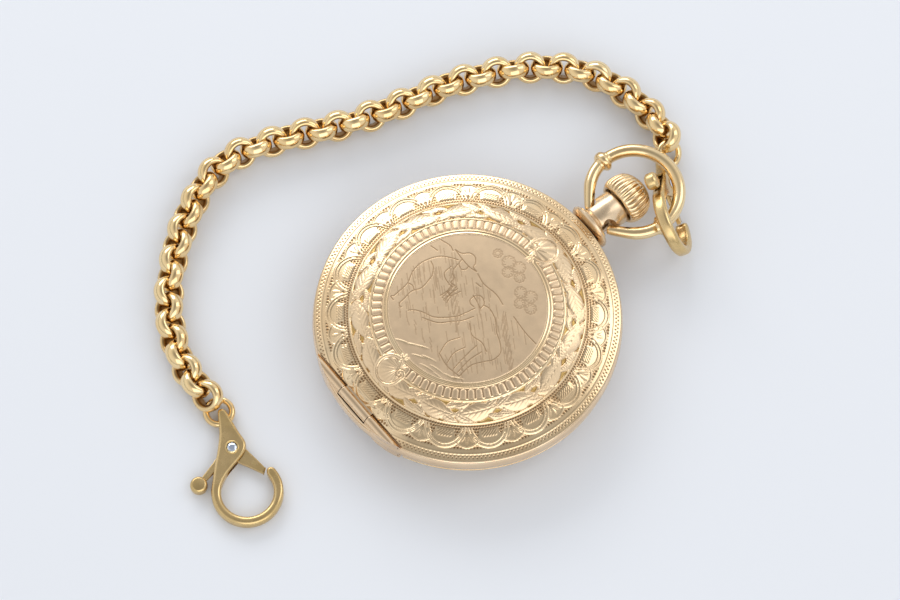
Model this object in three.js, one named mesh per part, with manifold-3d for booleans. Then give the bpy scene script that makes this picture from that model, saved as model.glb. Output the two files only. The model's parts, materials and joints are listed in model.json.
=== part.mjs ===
// A hunter-case pocket watch with its chain, in millimetres, +Z up.
//
// The watch lies on its back. The origin is the centre of the flat back face, on the axis of the
// round case. The pendant and crown point along +Y, and the three hinges of the case lie at -Y.
import * as THREE from "three";
import { mergeVertices } from "three/addons/utils/BufferGeometryUtils.js";
import Module from "manifold-3d";

const wasm = await Module();
wasm.setup();

// ---------------------------------------------------------------- driving dimensions

const CASE_R = 26; // outer radius of the lids
const MID_Z = 6.5; // height of the case's middle plane, where the stem runs
const BAND_HALF = 1.6; // half the height of the band between the lids
const LID_Z = MID_Z + 1.9; // lower edge of the front lid
const SHEET = 0.6; // thickness of the gold sheet of the lids
const REST_R = 13.2; // radius of the flat the watch lies on
const CHORD_Y = -23.4; // where the lids are cut straight for their hinges
const HINGE_Y = -24.5; // axis of both outer hinges
const FRONT_HINGE_Z = 8.25;
const REAR_HINGE_Z = 2 * MID_Z - FRONT_HINGE_Z;
const DUST_HINGE_Y = -22;
const DUST_HINGE_Z = 4.5;

const PIVOT_Y = 29.05; // axis of the bow's two pivots
const BOW_Y = 37.2; // centre of the bow's ring
const BOW_R = 7.7; // centre line of the bow's ring
const BOW_WIRE = 1.1; // radius of the bow's round bar
const CROWN_Y = 33.3; // where the crown's skirt starts
const CROWN_LENGTH = 5.7;
const CROWN_R = 4.35;
const STEM_R = 0.5;

const PLATE_R = 21.2; // the movement's main plate
const PLATE_Z = 6.45;
const PLATE_T = 0.7;
const BRIDGE_Z = 3.9; // back face of the bridges
const BRIDGE_T = 0.7;
const DIAL_Z = 8;
const DIAL_T = 0.35;
const DIAL_R = 20.6;
const WHEEL_T = 0.2; // thickness of a train wheel
const LOW = 4.9; // the three levels of the going train, from the bridges up
const MIDDLE = 5.4;
const HIGH = 5.95;
const CANNON_Z = 7.35; // the two levels of the motion work under the dial
const HOUR_Z = 7.65;

const CHAIN_R = 2.55; // outer radius of the chain's links
const CHAIN_Z = 2.6; // height of the chain's centre line where it lies
const CLASP_T = 2.2; // thickness of a clasp's body
const CLASP_HOOK = [4.9, -13.8]; // centre of the hook, from the clasp's lug
const CLASP_PIVOT = [2.2, -6.1]; // pivot of the lever, from the clasp's lug
const RING_R = 2.2; // centre line of the end rings
const RING_WIRE = 0.55;
const RING_HOLE = [-0.15, -1.65, 0]; // the hole for the end ring, from the clasp's lug

// Centres of the wheels, seen from the front.
const BARREL = [-5.2, 7.4];
const CROWN_WHEEL = [0, 13.2];
const THIRD = [4.87, -3.55];
const FOURTH = [9.2, 0];
const ESCAPE = [9.6, -4.6];
const BALANCE = [5.1, -13.8];
const MINUTE_WHEEL = [-2.6, 2.55];

const turn = (degrees) => (degrees * Math.PI) / 180;

// ---------------------------------------------------------------- materials

function metal(color, roughness) {
  return new THREE.MeshStandardMaterial({ color, roughness, metalness: 1 });
}

const pinkGold = metal(0xe9bd8e, 0.25);
const paleGold = metal(0xe3c38d, 0.3);
const chainGold = metal(0xdfae55, 0.2);
const claspGold = metal(0xcfa85c, 0.4);
const steel = metal(0xb9bcc2, 0.3);
const blueSteel = metal(0x27407e, 0.3);
const gilt = metal(0xd9b56a, 0.4);
const nickel = metal(0xc9c9c4, 0.35);
const enamel = new THREE.MeshStandardMaterial({ color: 0xf6f4ec, roughness: 0.25 });
const glass = new THREE.MeshStandardMaterial({
  color: 0xffffff, roughness: 0.02, transparent: true, opacity: 0.2,
});

// ---------------------------------------------------------------- shape helpers

// A closed geometry as a solid, turned face out where its faces point in.
function toSolid(geometry) {
  const bare = geometry.index ? geometry.toNonIndexed() : geometry.clone();
  bare.deleteAttribute("normal");
  bare.deleteAttribute("uv");
  const merged = mergeVertices(bare, 1e-4);
  const solidFrom = (triVerts) =>
    new wasm.Manifold(
      new wasm.Mesh({ numProp: 3, vertProperties: merged.attributes.position.array, triVerts }),
    );
  const triVerts = new Uint32Array(merged.index.array);
  const solid = solidFrom(triVerts);
  return solid.volume() < 0 ? solidFrom(triVerts.reverse()) : solid;
}

function toGeometry(solid) {
  const { vertProperties, triVerts } = solid.getMesh();
  const geometry = new THREE.BufferGeometry();
  geometry.setAttribute("position", new THREE.BufferAttribute(vertProperties, 3));
  geometry.setIndex(new THREE.BufferAttribute(triVerts, 1));
  geometry.computeVertexNormals();
  return geometry;
}

const join = (...pieces) =>
  toGeometry(pieces.map(toSolid).reduce((whole, piece) => whole.add(piece)));

const cut = (piece, ...tools) =>
  toGeometry(tools.map(toSolid).reduce((whole, tool) => whole.subtract(tool), toSolid(piece)));

// A profile of [radius, height] corners, turned about Z.
function turned(profile, segments = 36) {
  const points = profile.map(([r, z]) => new THREE.Vector2(r, z));
  const geometry = new THREE.LatheGeometry(points, segments).rotateX(Math.PI / 2);
  return toGeometry(toSolid(geometry));
}

// The same, with corners that enclose a ring of material.
const turnedRing = (profile, segments) => turned([...profile, profile[0]], segments);

function disc(radius, low, high, segments = 16) {
  return turned([[0, low], [radius, low], [radius, high], [0, high]], segments);
}

function washer(inner, outer, low, high, segments = 20) {
  return turnedRing([[inner, low], [outer, low], [outer, high], [inner, high]], segments);
}

// A box from its lowest to its highest corner.
function block([x0, y0, z0], [x1, y1, z1]) {
  const box = new THREE.BoxGeometry(x1 - x0, y1 - y0, z1 - z0);
  return box.translate((x0 + x1) / 2, (y0 + y1) / 2, (z0 + z1) / 2);
}

// A cylinder along X, from x0 to x1.
function rodX(radius, x0, x1, y, z, segments = 12) {
  const rod = new THREE.CylinderGeometry(radius, radius, x1 - x0, segments);
  return rod.rotateZ(Math.PI / 2).translate((x0 + x1) / 2, y, z);
}

// A cylinder along Y, from y0 to y1.
function rodY(radius, y0, y1, x, z, segments = 16) {
  const rod = new THREE.CylinderGeometry(radius, radius, y1 - y0, segments);
  return rod.translate(x, (y0 + y1) / 2, z);
}

// An outline of [x, y] corners, with its thickness from low to high along Z.
function plate(outline, low, high, holes = []) {
  const shape = new THREE.Shape(outline.map(([x, y]) => new THREE.Vector2(x, y)));
  shape.holes = holes.map((hole) => new THREE.Path(hole.map(([x, y]) => new THREE.Vector2(x, y))));
  const geometry = new THREE.ExtrudeGeometry(shape, { depth: high - low, bevelEnabled: false });
  return geometry.translate(0, 0, low);
}

// Points along an arc, in degrees.
function arc([x, y], radius, from, to, steps) {
  return Array.from({ length: steps + 1 }, (_, i) => {
    const angle = turn(from + ((to - from) * i) / steps);
    return [x + radius * Math.cos(angle), y + radius * Math.sin(angle)];
  });
}

// A round bar along a curve.
function bar(curve, radius, steps, sides) {
  const section = new THREE.Shape(
    arc([0, 0], radius, 0, 360 - 360 / sides, sides - 1).map(([x, y]) => new THREE.Vector2(x, y)),
  );
  return new THREE.ExtrudeGeometry(section, { steps, extrudePath: curve, bevelEnabled: false });
}

// A toothed wheel with pointed teeth: rim, arms, hub, and its arbor with a pinion.
function wheel({ teeth, radius, z, arms = 4, arbor = [z - 0.2, z + 0.4], pinion, arborR = 0.25 }) {
  const outline = Array.from({ length: 2 * teeth }, (_, i) => {
    const angle = (Math.PI * i) / teeth;
    const r = i % 2 ? radius - 0.3 : radius;
    return [r * Math.cos(angle), r * Math.sin(angle)];
  });
  const inner = radius - 1;
  const half = 360 / arms / 2;
  const windows = Array.from({ length: arms }, (_, i) => {
    const middle = 2 * half * i + half;
    const outerArc = arc([0, 0], inner, middle - half + 9, middle + half - 9, 4);
    return [...outerArc, ...arc([0, 0], 1.1, middle + 12, middle - 12, 1)];
  });
  const pieces = [
    plate(outline, z, z + WHEEL_T, inner > 1.6 ? windows : []),
    disc(arborR, arbor[0], arbor[1], 8),
  ];
  if (pinion) {
    const leaves = Array.from({ length: 2 * pinion.leaves }, (_, i) => {
      const angle = (Math.PI * i) / pinion.leaves;
      const r = i % 2 ? pinion.radius - 0.22 : pinion.radius;
      return [r * Math.cos(angle), r * Math.sin(angle)];
    });
    pieces.push(plate(leaves, pinion.low, pinion.high));
  }
  return join(...pieces);
}

const part = new THREE.Group();

// Adds a named piece to a group, with its origin at a place in that group.
function add(name, geometry, material, [x, y, z] = [0, 0, 0], group = part) {
  const mesh = new THREE.Mesh(geometry, material);
  mesh.name = name;
  mesh.position.set(x, y, z);
  group.add(mesh);
  return mesh;
}

// ---------------------------------------------------------------- case

// Half profiles of the front lid, as [radius, height] above the middle plane.
const DOME_OUTSIDE = [
  [26, 1.9], [25.9, 2.3], [24.5, 2.75], [19.9, 4.2], [16.5, 5.6], [13.7, 6.1], [7, 6.4],
];
const DOME_INSIDE = [[25.2, 1.9], [24.2, 2.4], [19.7, 3.65], [16.3, 5], [13.5, 5.5]];
const BACK_OUTSIDE = [...DOME_OUTSIDE.filter(([r]) => r > 14), [REST_R, MID_Z]];
const BACK_INSIDE = [...DOME_INSIDE.filter(([r]) => r > 14), [REST_R - 0.2, 5.9]];

// The outside or the inside of a lid as a solid dome, cut straight at its chord.
function dome(profile, top, side, chord) {
  const corners = [[0, LID_Z - MID_Z], ...profile, [0, top]];
  const whole = turned(corners.map(([r, h]) => [r, MID_Z + side * h]));
  const beyond = block([-CASE_R, -CASE_R - 1, -1], [CASE_R, chord, 2 * MID_Z + 1]);
  return cut(whole, beyond);
}

// A knuckle with a web that joins it to the edge of its lid.
function knuckle(x0, x1, z, side) {
  const web = block([x0, HINGE_Y, z + side * 0.5 - 0.2], [x1, CHORD_Y + 0.4, z + side * 0.5 + 0.2]);
  return cut(join(rodX(0.8, x0, x1, HINGE_Y, z), web), rodX(0.35, x0 - 1, x1 + 1, HINGE_Y, z, 8));
}

const KNUCKLE_MIDDLE = 3.4; // half length of a lid's knuckle
const KNUCKLE_END = 8.8; // where the band's outer knuckles end

function frontLid() {
  const shell = cut(
    dome(DOME_OUTSIDE, 6.4, 1, CHORD_Y),
    dome(DOME_INSIDE, 5.8, 1, CHORD_Y + SHEET),
  );
  return join(shell, knuckle(-KNUCKLE_MIDDLE, KNUCKLE_MIDDLE, FRONT_HINGE_Z, 1));
}

function rearCover() {
  const shell = cut(
    dome(BACK_OUTSIDE, MID_Z, -1, CHORD_Y),
    dome(BACK_INSIDE, 5.9, -1, CHORD_Y + SHEET),
  );
  return join(shell, knuckle(-KNUCKLE_MIDDLE, KNUCKLE_MIDDLE, REAR_HINGE_Z, -1));
}

function caseBand() {
  const low = MID_Z - BAND_HALF;
  const high = MID_Z + BAND_HALF;
  const ring = turnedRing([
    [22, low], [25.9, low], [26.3, MID_Z], [25.9, high],
    [22.6, high], [22.6, high - 0.5], [23.4, high - 0.6], [23.4, low + 0.6], [22, low + 0.5],
  ]);
  const knuckles = [-1, 1].flatMap((side) => {
    const ends = side < 0 ? [-KNUCKLE_END, -KNUCKLE_MIDDLE - 0.3] : [KNUCKLE_MIDDLE + 0.3, KNUCKLE_END];
    return [FRONT_HINGE_Z, REAR_HINGE_Z].map((z) => rodX(0.8, ...ends, HINGE_Y, z));
  });
  const dustKnuckles = [[-6, -2.5], [2.5, 6]].map(([x0, x1]) =>
    join(
      rodX(0.4, x0, x1, DUST_HINGE_Y, DUST_HINGE_Z, 8),
      block([x0, DUST_HINGE_Y - 0.35, DUST_HINGE_Z], [x1, DUST_HINGE_Y + 0.1, low + 0.4]),
      block([x0, DUST_HINGE_Y - 1.2, low + 0.05], [x1, DUST_HINGE_Y, low + 0.4]),
    ),
  );
  const room = [FRONT_HINGE_Z, REAR_HINGE_Z].map((z) =>
    rodX(1.15, -KNUCKLE_MIDDLE - 0.3, KNUCKLE_MIDDLE + 0.3, HINGE_Y, z, 12),
  );
  const pins = [FRONT_HINGE_Z, REAR_HINGE_Z].map((z) => rodX(0.35, -10, 10, HINGE_Y, z, 8));
  const dustPin = rodX(0.25, -7, 7, DUST_HINGE_Y, DUST_HINGE_Z, 8);
  const stemHole = rodY(1, 20, 28, 0, MID_Z);
  const catchWindow = block([-1.6, 20, MID_Z + 1], [1.6, 23.65, high + 1]);
  return cut(join(ring, ...knuckles, ...dustKnuckles), ...room, ...pins, dustPin, stemHole, catchWindow);
}

// The inner cover over the movement, which opens on its own hinge behind the rear cover.
function dustCover() {
  const below = [[0, 0.9], [13, 0.95], [16.5, 1.85], [22.9, 4.2]];
  const above = below.map(([r, z]) => [r, z + 0.35]).reverse();
  const shell = turned([...below, ...above]);
  const edge = DUST_HINGE_Y + 0.75;
  const trimmed = cut(shell, block([-CASE_R, -CASE_R, -1], [CASE_R, edge, 8]));
  const middle = rodX(0.4, -2.2, 2.2, DUST_HINGE_Y, DUST_HINGE_Z, 8);
  const web = block([-2.2, DUST_HINGE_Y, DUST_HINGE_Z - 0.85], [2.2, edge + 0.4, DUST_HINGE_Z - 0.25]);
  return cut(join(trimmed, middle, web), rodX(0.2, -7, 7, DUST_HINGE_Y, DUST_HINGE_Z, 8));
}

function bezel() {
  const ring = turnedRing([[20.3, 8.6], [22.8, 8.4], [22.8, 8.75], [21.2, 9.4], [20.3, 9.6]]);
  return cut(ring, block([-2, 21.4, 8], [2, 24, 10]));
}

function crystal() {
  const under = (r) => 10.55 - 1.5 * (r / 20) ** 2;
  const radii = [0, 10, 20];
  const below = radii.map((r) => [r, under(r)]);
  const above = radii.map((r) => [r, under(r) + 0.5]).reverse();
  return turned([...below, ...above]);
}

// A spring strip that lies inside the band, between two angles.
function bandSpring(from, to, steps) {
  const outside = arc([0, 0], 22.9, from, to, steps);
  const inside = arc([0, 0], 22.4, to, from, steps);
  return plate([...outside, ...inside], MID_Z - 0.7, MID_Z + 0.7);
}

// The lid's catch: a strip with a hole for the stem, and a nose that reaches up to the lid.
function lockSpring() {
  const post = block([-1.2, 22.55, MID_Z + 0.6], [1.2, 22.9, LID_Z + 0.35]);
  const nose = block([-1.2, 22.6, LID_Z], [1.2, 24.3, LID_Z + 0.3]);
  const hole = rodY(0.9, 21, 24, 0, MID_Z, 12);
  return join(cut(bandSpring(66, 114, 10), hole), post, nose);
}

function liftSpring() {
  const nose = block([-13, -18.4, MID_Z + 0.4], [-12.2, -17.6, MID_Z + 1.7]);
  return join(bandSpring(150, 236, 14), nose);
}

add("case_band", caseBand(), pinkGold);
add("front_lid", frontLid(), pinkGold);
add("front_hinge_pin", rodX(0.25, -KNUCKLE_END, KNUCKLE_END, 0, 0, 8), steel, [0, HINGE_Y, FRONT_HINGE_Z]);
add("rear_cover", rearCover(), pinkGold);
add("rear_hinge_pin", rodX(0.25, -KNUCKLE_END, KNUCKLE_END, 0, 0, 8), steel, [0, HINGE_Y, REAR_HINGE_Z]);
add("dust_cover", dustCover(), paleGold);
add("dust_hinge_pin", rodX(0.12, -6, 6, 0, 0, 8), steel, [0, DUST_HINGE_Y, DUST_HINGE_Z]);
add("bezel", bezel(), pinkGold);
add("crystal", crystal(), glass);
add("lift_spring", liftSpring(), steel);
add("lock_spring", lockSpring(), steel);

// ---------------------------------------------------------------- pendant, crown and bow

// The pendant's outline, as [radius, distance along Y].
function pendant() {
  const outline = [
    [0, 26.55], [3.05, 26.55], [4.15, 27], [4.1, 27.5], [2.9, 28.1], [3.1, 28.6], [3.1, 33.1], [0, 33.1],
  ];
  const body = turned(outline, 20).rotateX(-Math.PI / 2).translate(0, 0, MID_Z);
  const bore = rodY(1, 26, 34, 0, MID_Z);
  const counterbore = rodY(2.2, 31.6, 34, 0, MID_Z);
  const pivots = rodX(0.95, -4, 4, PIVOT_Y, MID_Z, 12);
  const notches = [[-4, -2.3], [2.3, 4]].map(([from, to]) => rodX(1.5, from, to, PIVOT_Y + 0.7, MID_Z, 16));
  return cut(body, bore, counterbore, pivots, ...notches);
}

function crown() {
  const flutes = 24;
  const outline = [
    [0, 1.1], [3.35, 1.1], [3.35, 0], [3.75, 0], [CROWN_R, 1.6], [4, 3.8], [2.6, 5.2], [0, CROWN_LENGTH],
  ];
  const body = turned(outline, flutes).rotateX(-Math.PI / 2);
  return cut(body, rodY(0.75, 0, 3.8, 0, 0, 12));
}

function windingStem() {
  const shaft = rodY(STEM_R, 15.2, CROWN_Y + 3.2, 0, 0, 12);
  const groove = turnedRing([[0.32, 17.7], [0.8, 17.7], [0.8, 18.5], [0.32, 18.5]], 12);
  return cut(shaft, groove.rotateX(-Math.PI / 2));
}

// The small wheel on the stem that drives the crown wheel.
function windingPinion() {
  const leaves = Array.from({ length: 20 }, (_, i) => {
    const r = i % 2 ? 1.15 : 1.4;
    return [r * Math.cos((Math.PI * i) / 10), r * Math.sin((Math.PI * i) / 10)];
  });
  return plate(leaves, 0, 1.5, [arc([0, 0], 0.75, 0, 330, 11)]).rotateX(-Math.PI / 2);
}

// The fork that follows the stem's groove when the crown is pulled out or pushed in.
function settingLever() {
  const fork = block([-0.9, -0.2, -0.6], [2.6, 0.2, 0.75]);
  const arm = block([2.4, -2.4, -0.35], [3.2, 0.2, 0.35]);
  return cut(join(fork, arm), block([-0.42, -1, -1], [0.42, 1, 0.42]));
}

function bow() {
  const reach = Math.asin(4.4 / BOW_R);
  const ring = new THREE.CatmullRomCurve3(
    arc([0, BOW_Y - PIVOT_Y], BOW_R, -90 + (reach * 180) / Math.PI, 270 - (reach * 180) / Math.PI, 26)
      .map(([x, y]) => new THREE.Vector3(x, y, 0)),
  );
  const start = ring.getPoint(0);
  const pieces = [bar(ring, BOW_WIRE, 24, 8)];
  for (const side of [-1, 1]) {
    const end = new THREE.CatmullRomCurve3([
      new THREE.Vector3(side * start.x, start.y + 0.1, 0),
      new THREE.Vector3(side * 3.75, 0.75, 0),
      new THREE.Vector3(side * 3.2, 0.1, 0),
      new THREE.Vector3(side * 2.4, 0, 0),
    ]);
    const knob = turned([[0, -0.7], [1.25, -0.7], [1.7, -0.3], [1.7, 0.3], [1.25, 0.7], [0, 0.7]], 12);
    pieces.push(bar(end, 0.65, 5, 8));
    pieces.push(knob.rotateX(Math.PI / 2).translate(side * BOW_R, BOW_Y - PIVOT_Y - 0.5, 0));
  }
  return join(...pieces);
}

add("pendant", pendant(), pinkGold);
add("crown", crown(), paleGold, [0, CROWN_Y, MID_Z]);
add("winding_stem", windingStem(), steel, [0, 0, MID_Z]);
add("winding_pinion", windingPinion(), steel, [0, 15.3, MID_Z]);
add("setting_lever", settingLever(), steel, [0, 18.1, MID_Z]);
add("bow", bow(), paleGold, [0, PIVOT_Y, MID_Z]);

// ---------------------------------------------------------------- movement: plate and bridges

const at = ([x, y], radius, low, high, segments = 16) =>
  disc(radius, low, high, segments).translate(x, y, 0);

function mainPlate() {
  const body = disc(PLATE_R, PLATE_Z, PLATE_Z + PLATE_T, 36);
  const top = PLATE_Z + PLATE_T + 1;
  const stemSlot = block([-2.6, 13.4, 0], [3.8, 24, top]);
  const holes = [
    at([0, 0], 0.9, 0, top), at(FOURTH, 0.55, 0, top, 10), at([3.2, 15.5], 1, 0, top, 10),
  ];
  const jewelHoles = [THIRD, ESCAPE, BALANCE, BARREL].map((place) => at(place, 0.5, 0, top, 8));
  return cut(body, stemSlot, ...holes, ...jewelHoles);
}

// A bridge: an outline plate on two feet, with holes for the arbors and screws it carries.
function bridge(outline, holes, feet) {
  const top = BRIDGE_Z + BRIDGE_T;
  const body = plate(outline, BRIDGE_Z, top);
  const posts = feet.map((place) => at(place, 0.9, top - 0.1, PLATE_Z - 0.25, 10));
  const cuts = holes.map(([place, radius]) => at(place, radius, 0, top + 0.2, 12));
  const screws = feet.map((place) => at(place, 0.62, 0, PLATE_Z, 10));
  return cut(join(body, ...posts), ...cuts, ...screws);
}

function barrelBridge() {
  const outline = [
    ...arc([0, 0], 19.8, 62, 172, 14), [-12, -1], ...arc(BARREL, 9.2, 232, 285, 4), [-2.8, 3.1],
    [2.9, 3.5], [5.5, 9.5],
  ];
  return bridge(outline, [[BARREL, 1.1], [CROWN_WHEEL, 2.3]], [[-17.3, 3.5], [7.4, 16.4]]);
}

function trainBridge() {
  const outline = [
    ...arc([0, 0], 19.8, -28, 54, 10),
    [6.2, 8.8], [3.4, 2.6], [-1.8, 2.2], [-2.2, -2.2], [2.6, -6.9], [11.4, -7.2],
  ];
  const pivots = [[[0, 0], 0.6], [THIRD, 0.5], [FOURTH, 0.5], [ESCAPE, 0.5]];
  return bridge(outline, pivots, [[16.6, 6.4], [17.2, -5]]);
}

function balanceCock() {
  const [x, y] = BALANCE;
  const outline = [
    ...arc([0, 0], 19.8, -112, -88, 4),
    ...arc(BALANCE, 2.3, -60, 120, 8),
    [x - 5.2, y + 2.6], [x - 9.5, y + 4],
  ];
  return bridge(outline, [[BALANCE, 0.5]], [[-5.2, -16]]);
}

function palletBridge() {
  const outline = [
    [12.2, -8.6], [17, -8.8], [16.2, -11.2], [12.9, -13.2],
    [8.2, -8.8], [7, -7.6], [8.2, -6.8],
  ];
  const low = 5.15;
  const body = plate(outline, low, low + 0.4);
  const post = at([14.6, -10.4], 0.9, low + 0.3, PLATE_Z - 0.25, 10);
  return cut(join(body, post), at([14.6, -10.4], 0.62, 0, PLATE_Z, 10), at([8.1, -7.5], 0.4, 0, 8, 8));
}

function screw() {
  const slot = block([-1, -0.12, -0.05], [1, 0.12, 0.15]);
  return cut(join(disc(0.95, 0, 0.35, 12), disc(0.4, 0.3, 2.2, 8)), slot);
}

add("main_plate", mainPlate(), gilt);
add("barrel_bridge", barrelBridge(), nickel);
add("train_bridge", trainBridge(), nickel);
add("balance_cock", balanceCock(), nickel);
add("pallet_bridge", palletBridge(), nickel);
const SCREWS = {
  barrel_bridge_screw_1: [-17.3, 3.5], barrel_bridge_screw_2: [7.4, 16.4],
  train_bridge_screw_1: [16.6, 6.4], train_bridge_screw_2: [17.2, -5], balance_cock_screw: [-5.2, -16],
};
for (const [name, [x, y]] of Object.entries(SCREWS)) {
  add(name, screw(), blueSteel, [x, y, BRIDGE_Z - 0.6]);
}

// ---------------------------------------------------------------- movement: winding work

function toothedPlate(teeth, radius, low, high) {
  const outline = Array.from({ length: 2 * teeth }, (_, i) => {
    const r = i % 2 ? radius - 0.4 : radius;
    return [r * Math.cos((Math.PI * i) / teeth), r * Math.sin((Math.PI * i) / teeth)];
  });
  return plate(outline, low, high);
}

const WINDING_Z = 3.2; // level of the crown wheel and the ratchet wheel

function crownWheel() {
  const hub = washer(1.2, 1.9, WINDING_Z + 0.2, 4.5, 16);
  return join(toothedPlate(20, 3.15, WINDING_Z, WINDING_Z + 0.35), hub);
}

function ratchetWheel() {
  const arbor = disc(0.75, WINDING_Z + 0.2, 6.1, 12);
  return join(toothedPlate(28, 4.4, WINDING_Z, WINDING_Z + 0.35), arbor);
}

// The click, with its pivot at the origin and its nose towards the ratchet wheel.
function click() {
  const arm = plate([[-0.7, -0.5], [2.6, -0.9], [3.1, 0.1], [2.2, 0.35], [-0.5, 0.7]], 0, 0.35);
  return join(arm, disc(0.85, 0, 0.35, 12));
}

function barrel() {
  const toothed = cut(toothedPlate(48, 8, 5.6, 5.85), disc(0.95, 5, 6, 12));
  return join(toothed, washer(6.9, 7.3, 4.95, 5.7, 24));
}

function mainspring() {
  const turns = 3;
  const steps = 10;
  const spiral = (offset) =>
    Array.from({ length: turns * steps + 1 }, (_, i) => {
      const r = 2.4 + (3.9 * i) / (turns * steps) + offset;
      return [r * Math.cos(turn((360 * i) / steps)), r * Math.sin(turn((360 * i) / steps))];
    });
  return plate([...spiral(0.12), ...spiral(-0.12).reverse()], 5.1, 5.45);
}

add("barrel", barrel(), gilt, [...BARREL, 0]);
add("barrel_cover", washer(1, 7.2, 4.72, 4.87, 20), gilt, [...BARREL, 0]);
add("mainspring", mainspring(), blueSteel, [...BARREL, 0]);
add("ratchet_wheel", ratchetWheel(), steel, [...BARREL, 0]);
add("crown_wheel", crownWheel(), steel, [...CROWN_WHEEL, 0]);
const clickMesh = add("click", click(), steel, [-12.6, 5.2, WINDING_Z]);
clickMesh.rotation.z = turn(28);

// ---------------------------------------------------------------- movement: going train

const centreWheel = wheel({
  teeth: 30, radius: 5.2, z: HIGH, arbor: [LOW - 0.2, 9], arborR: 0.3,
  pinion: { leaves: 6, radius: 0.95, low: LOW, high: 5.75 },
});
const thirdWheel = wheel({
  teeth: 32, radius: 4.75, z: LOW, arbor: [LOW - 0.2, 6.35],
  pinion: { leaves: 6, radius: 0.74, low: HIGH - 0.1, high: HIGH + 0.3 },
});
const fourthWheel = wheel({
  teeth: 30, radius: 3.9, z: MIDDLE, arbor: [LOW - 0.6, 8.75],
  pinion: { leaves: 6, radius: 0.72, low: LOW - 0.05, high: LOW + 0.3 },
});
add("centre_wheel", centreWheel, gilt);
add("third_wheel", thirdWheel, gilt, [...THIRD, 0]);
add("fourth_wheel", fourthWheel, gilt, [...FOURTH, 0]);

function escapeWheel() {
  const teeth = 15;
  const outline = Array.from({ length: teeth }, (_, i) => {
    const angle = turn((360 * i) / teeth);
    const lead = angle + turn(9);
    return [
      [1.95 * Math.cos(angle), 1.95 * Math.sin(angle)],
      [2.55 * Math.cos(lead), 2.55 * Math.sin(lead)],
      [2.5 * Math.cos(lead + turn(4)), 2.5 * Math.sin(lead + turn(4))],
    ];
  }).flat();
  const pinion = toothedPlate(6, 0.6, MIDDLE - 0.15, MIDDLE + 0.3);
  return join(plate(outline, HIGH, HIGH + WHEEL_T), disc(0.22, LOW + 0.3, 6.35, 8), pinion);
}

// The pallet fork, with its pivot at the origin and its notch towards +X.
function palletFork() {
  const reach = 5.6;
  const lever = plate(
    [[-0.5, -0.4], [0.4, -0.5], [reach - 0.8, -0.25], [reach, -0.65], [reach, -0.35], [reach - 0.4, 0],
      [reach, 0.35], [reach, 0.65], [reach - 0.8, 0.25], [0.4, 0.5], [-0.5, 0.4]],
    0, WHEEL_T,
  );
  const arms = plate(
    [
      [-0.3, 0.2], [-0.6, 1.9], [-0.2, 2.1], [0.4, 0.3],
      [0.4, -0.3], [-0.2, -2.1], [-0.6, -1.9], [-0.3, -0.2],
    ],
    0, WHEEL_T,
  );
  return join(lever, arms, disc(0.22, -0.9, 0.4, 8));
}

function balanceWheel() {
  const rim = washer(4.35, 5, 5.1, 5.7, 24);
  const arms = block([-4.5, -0.35, 5.3], [4.5, 0.35, 5.5]);
  const staff = disc(0.3, LOW - 0.2, 6.35, 8);
  const roller = disc(0.7, 5.95, 6.15, 12);
  return join(rim, arms, staff, disc(0.8, 5.2, 5.6, 12), roller);
}

function hairspring() {
  const turns = 3;
  const steps = 10;
  const spiral = (offset) =>
    Array.from({ length: turns * steps + 1 }, (_, i) => {
      const r = 0.95 + (2.4 * i) / (turns * steps) + offset;
      return [r * Math.cos(turn((360 * i) / steps)), r * Math.sin(turn((360 * i) / steps))];
    });
  return plate([...spiral(0.07), ...spiral(-0.07).reverse()], 4.78, 4.95);
}

// The regulator's pointer turns about the balance's axis, on the back of the cock.
function regulator() {
  const pointer = plate([[0.6, -0.4], [5.2, -0.12], [5.2, 0.12], [0.6, 0.4]], 0, 0.2);
  return join(washer(0.55, 1.3, 0, 0.2, 16), cut(pointer, disc(0.9, -1, 1, 12)));
}

add("escape_wheel", escapeWheel(), steel, [...ESCAPE, 0]);
const forkMesh = add("pallet_fork", palletFork(), steel, [8.1, -7.5, HIGH]);
forkMesh.rotation.z = Math.atan2(BALANCE[1] + 7.5, BALANCE[0] - 8.1);
add("balance_wheel", balanceWheel(), gilt, [...BALANCE, 0]);
add("hairspring", hairspring(), blueSteel, [...BALANCE, 0]);
const regulatorMesh = add("regulator", regulator(), steel, [...BALANCE, BRIDGE_Z - 0.4]);
regulatorMesh.rotation.z = turn(185);

// ---------------------------------------------------------------- dial, motion work and hands

function dial() {
  const body = disc(DIAL_R, DIAL_Z, DIAL_Z + DIAL_T, 36);
  const sunk = at(FOURTH, 4.7, DIAL_Z + 0.25, DIAL_Z + 1, 20);
  return cut(body, sunk, at([0, 0], 1.45, 0, 9), at(FOURTH, 0.55, 0, 9, 10));
}

function cannonPinion() {
  const pipe = washer(0.42, 0.62, CANNON_Z, 9.6, 12);
  const leaves = cut(toothedPlate(8, 0.98, CANNON_Z, CANNON_Z + 0.15), disc(0.5, 7, 8, 12));
  return join(pipe, leaves);
}

function minuteWheel() {
  const pinion = toothedPlate(8, 0.74, CANNON_Z + 0.1, HOUR_Z + 0.15);
  const leaves = toothedPlate(24, 2.6, CANNON_Z, CANNON_Z + 0.15);
  return join(leaves, pinion);
}

function hourWheel() {
  const leaves = cut(toothedPlate(24, 2.8, HOUR_Z, HOUR_Z + 0.15), disc(0.8, 7, 8, 12));
  return join(leaves, washer(0.75, 1.1, HOUR_Z, 8.95, 14));
}

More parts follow.
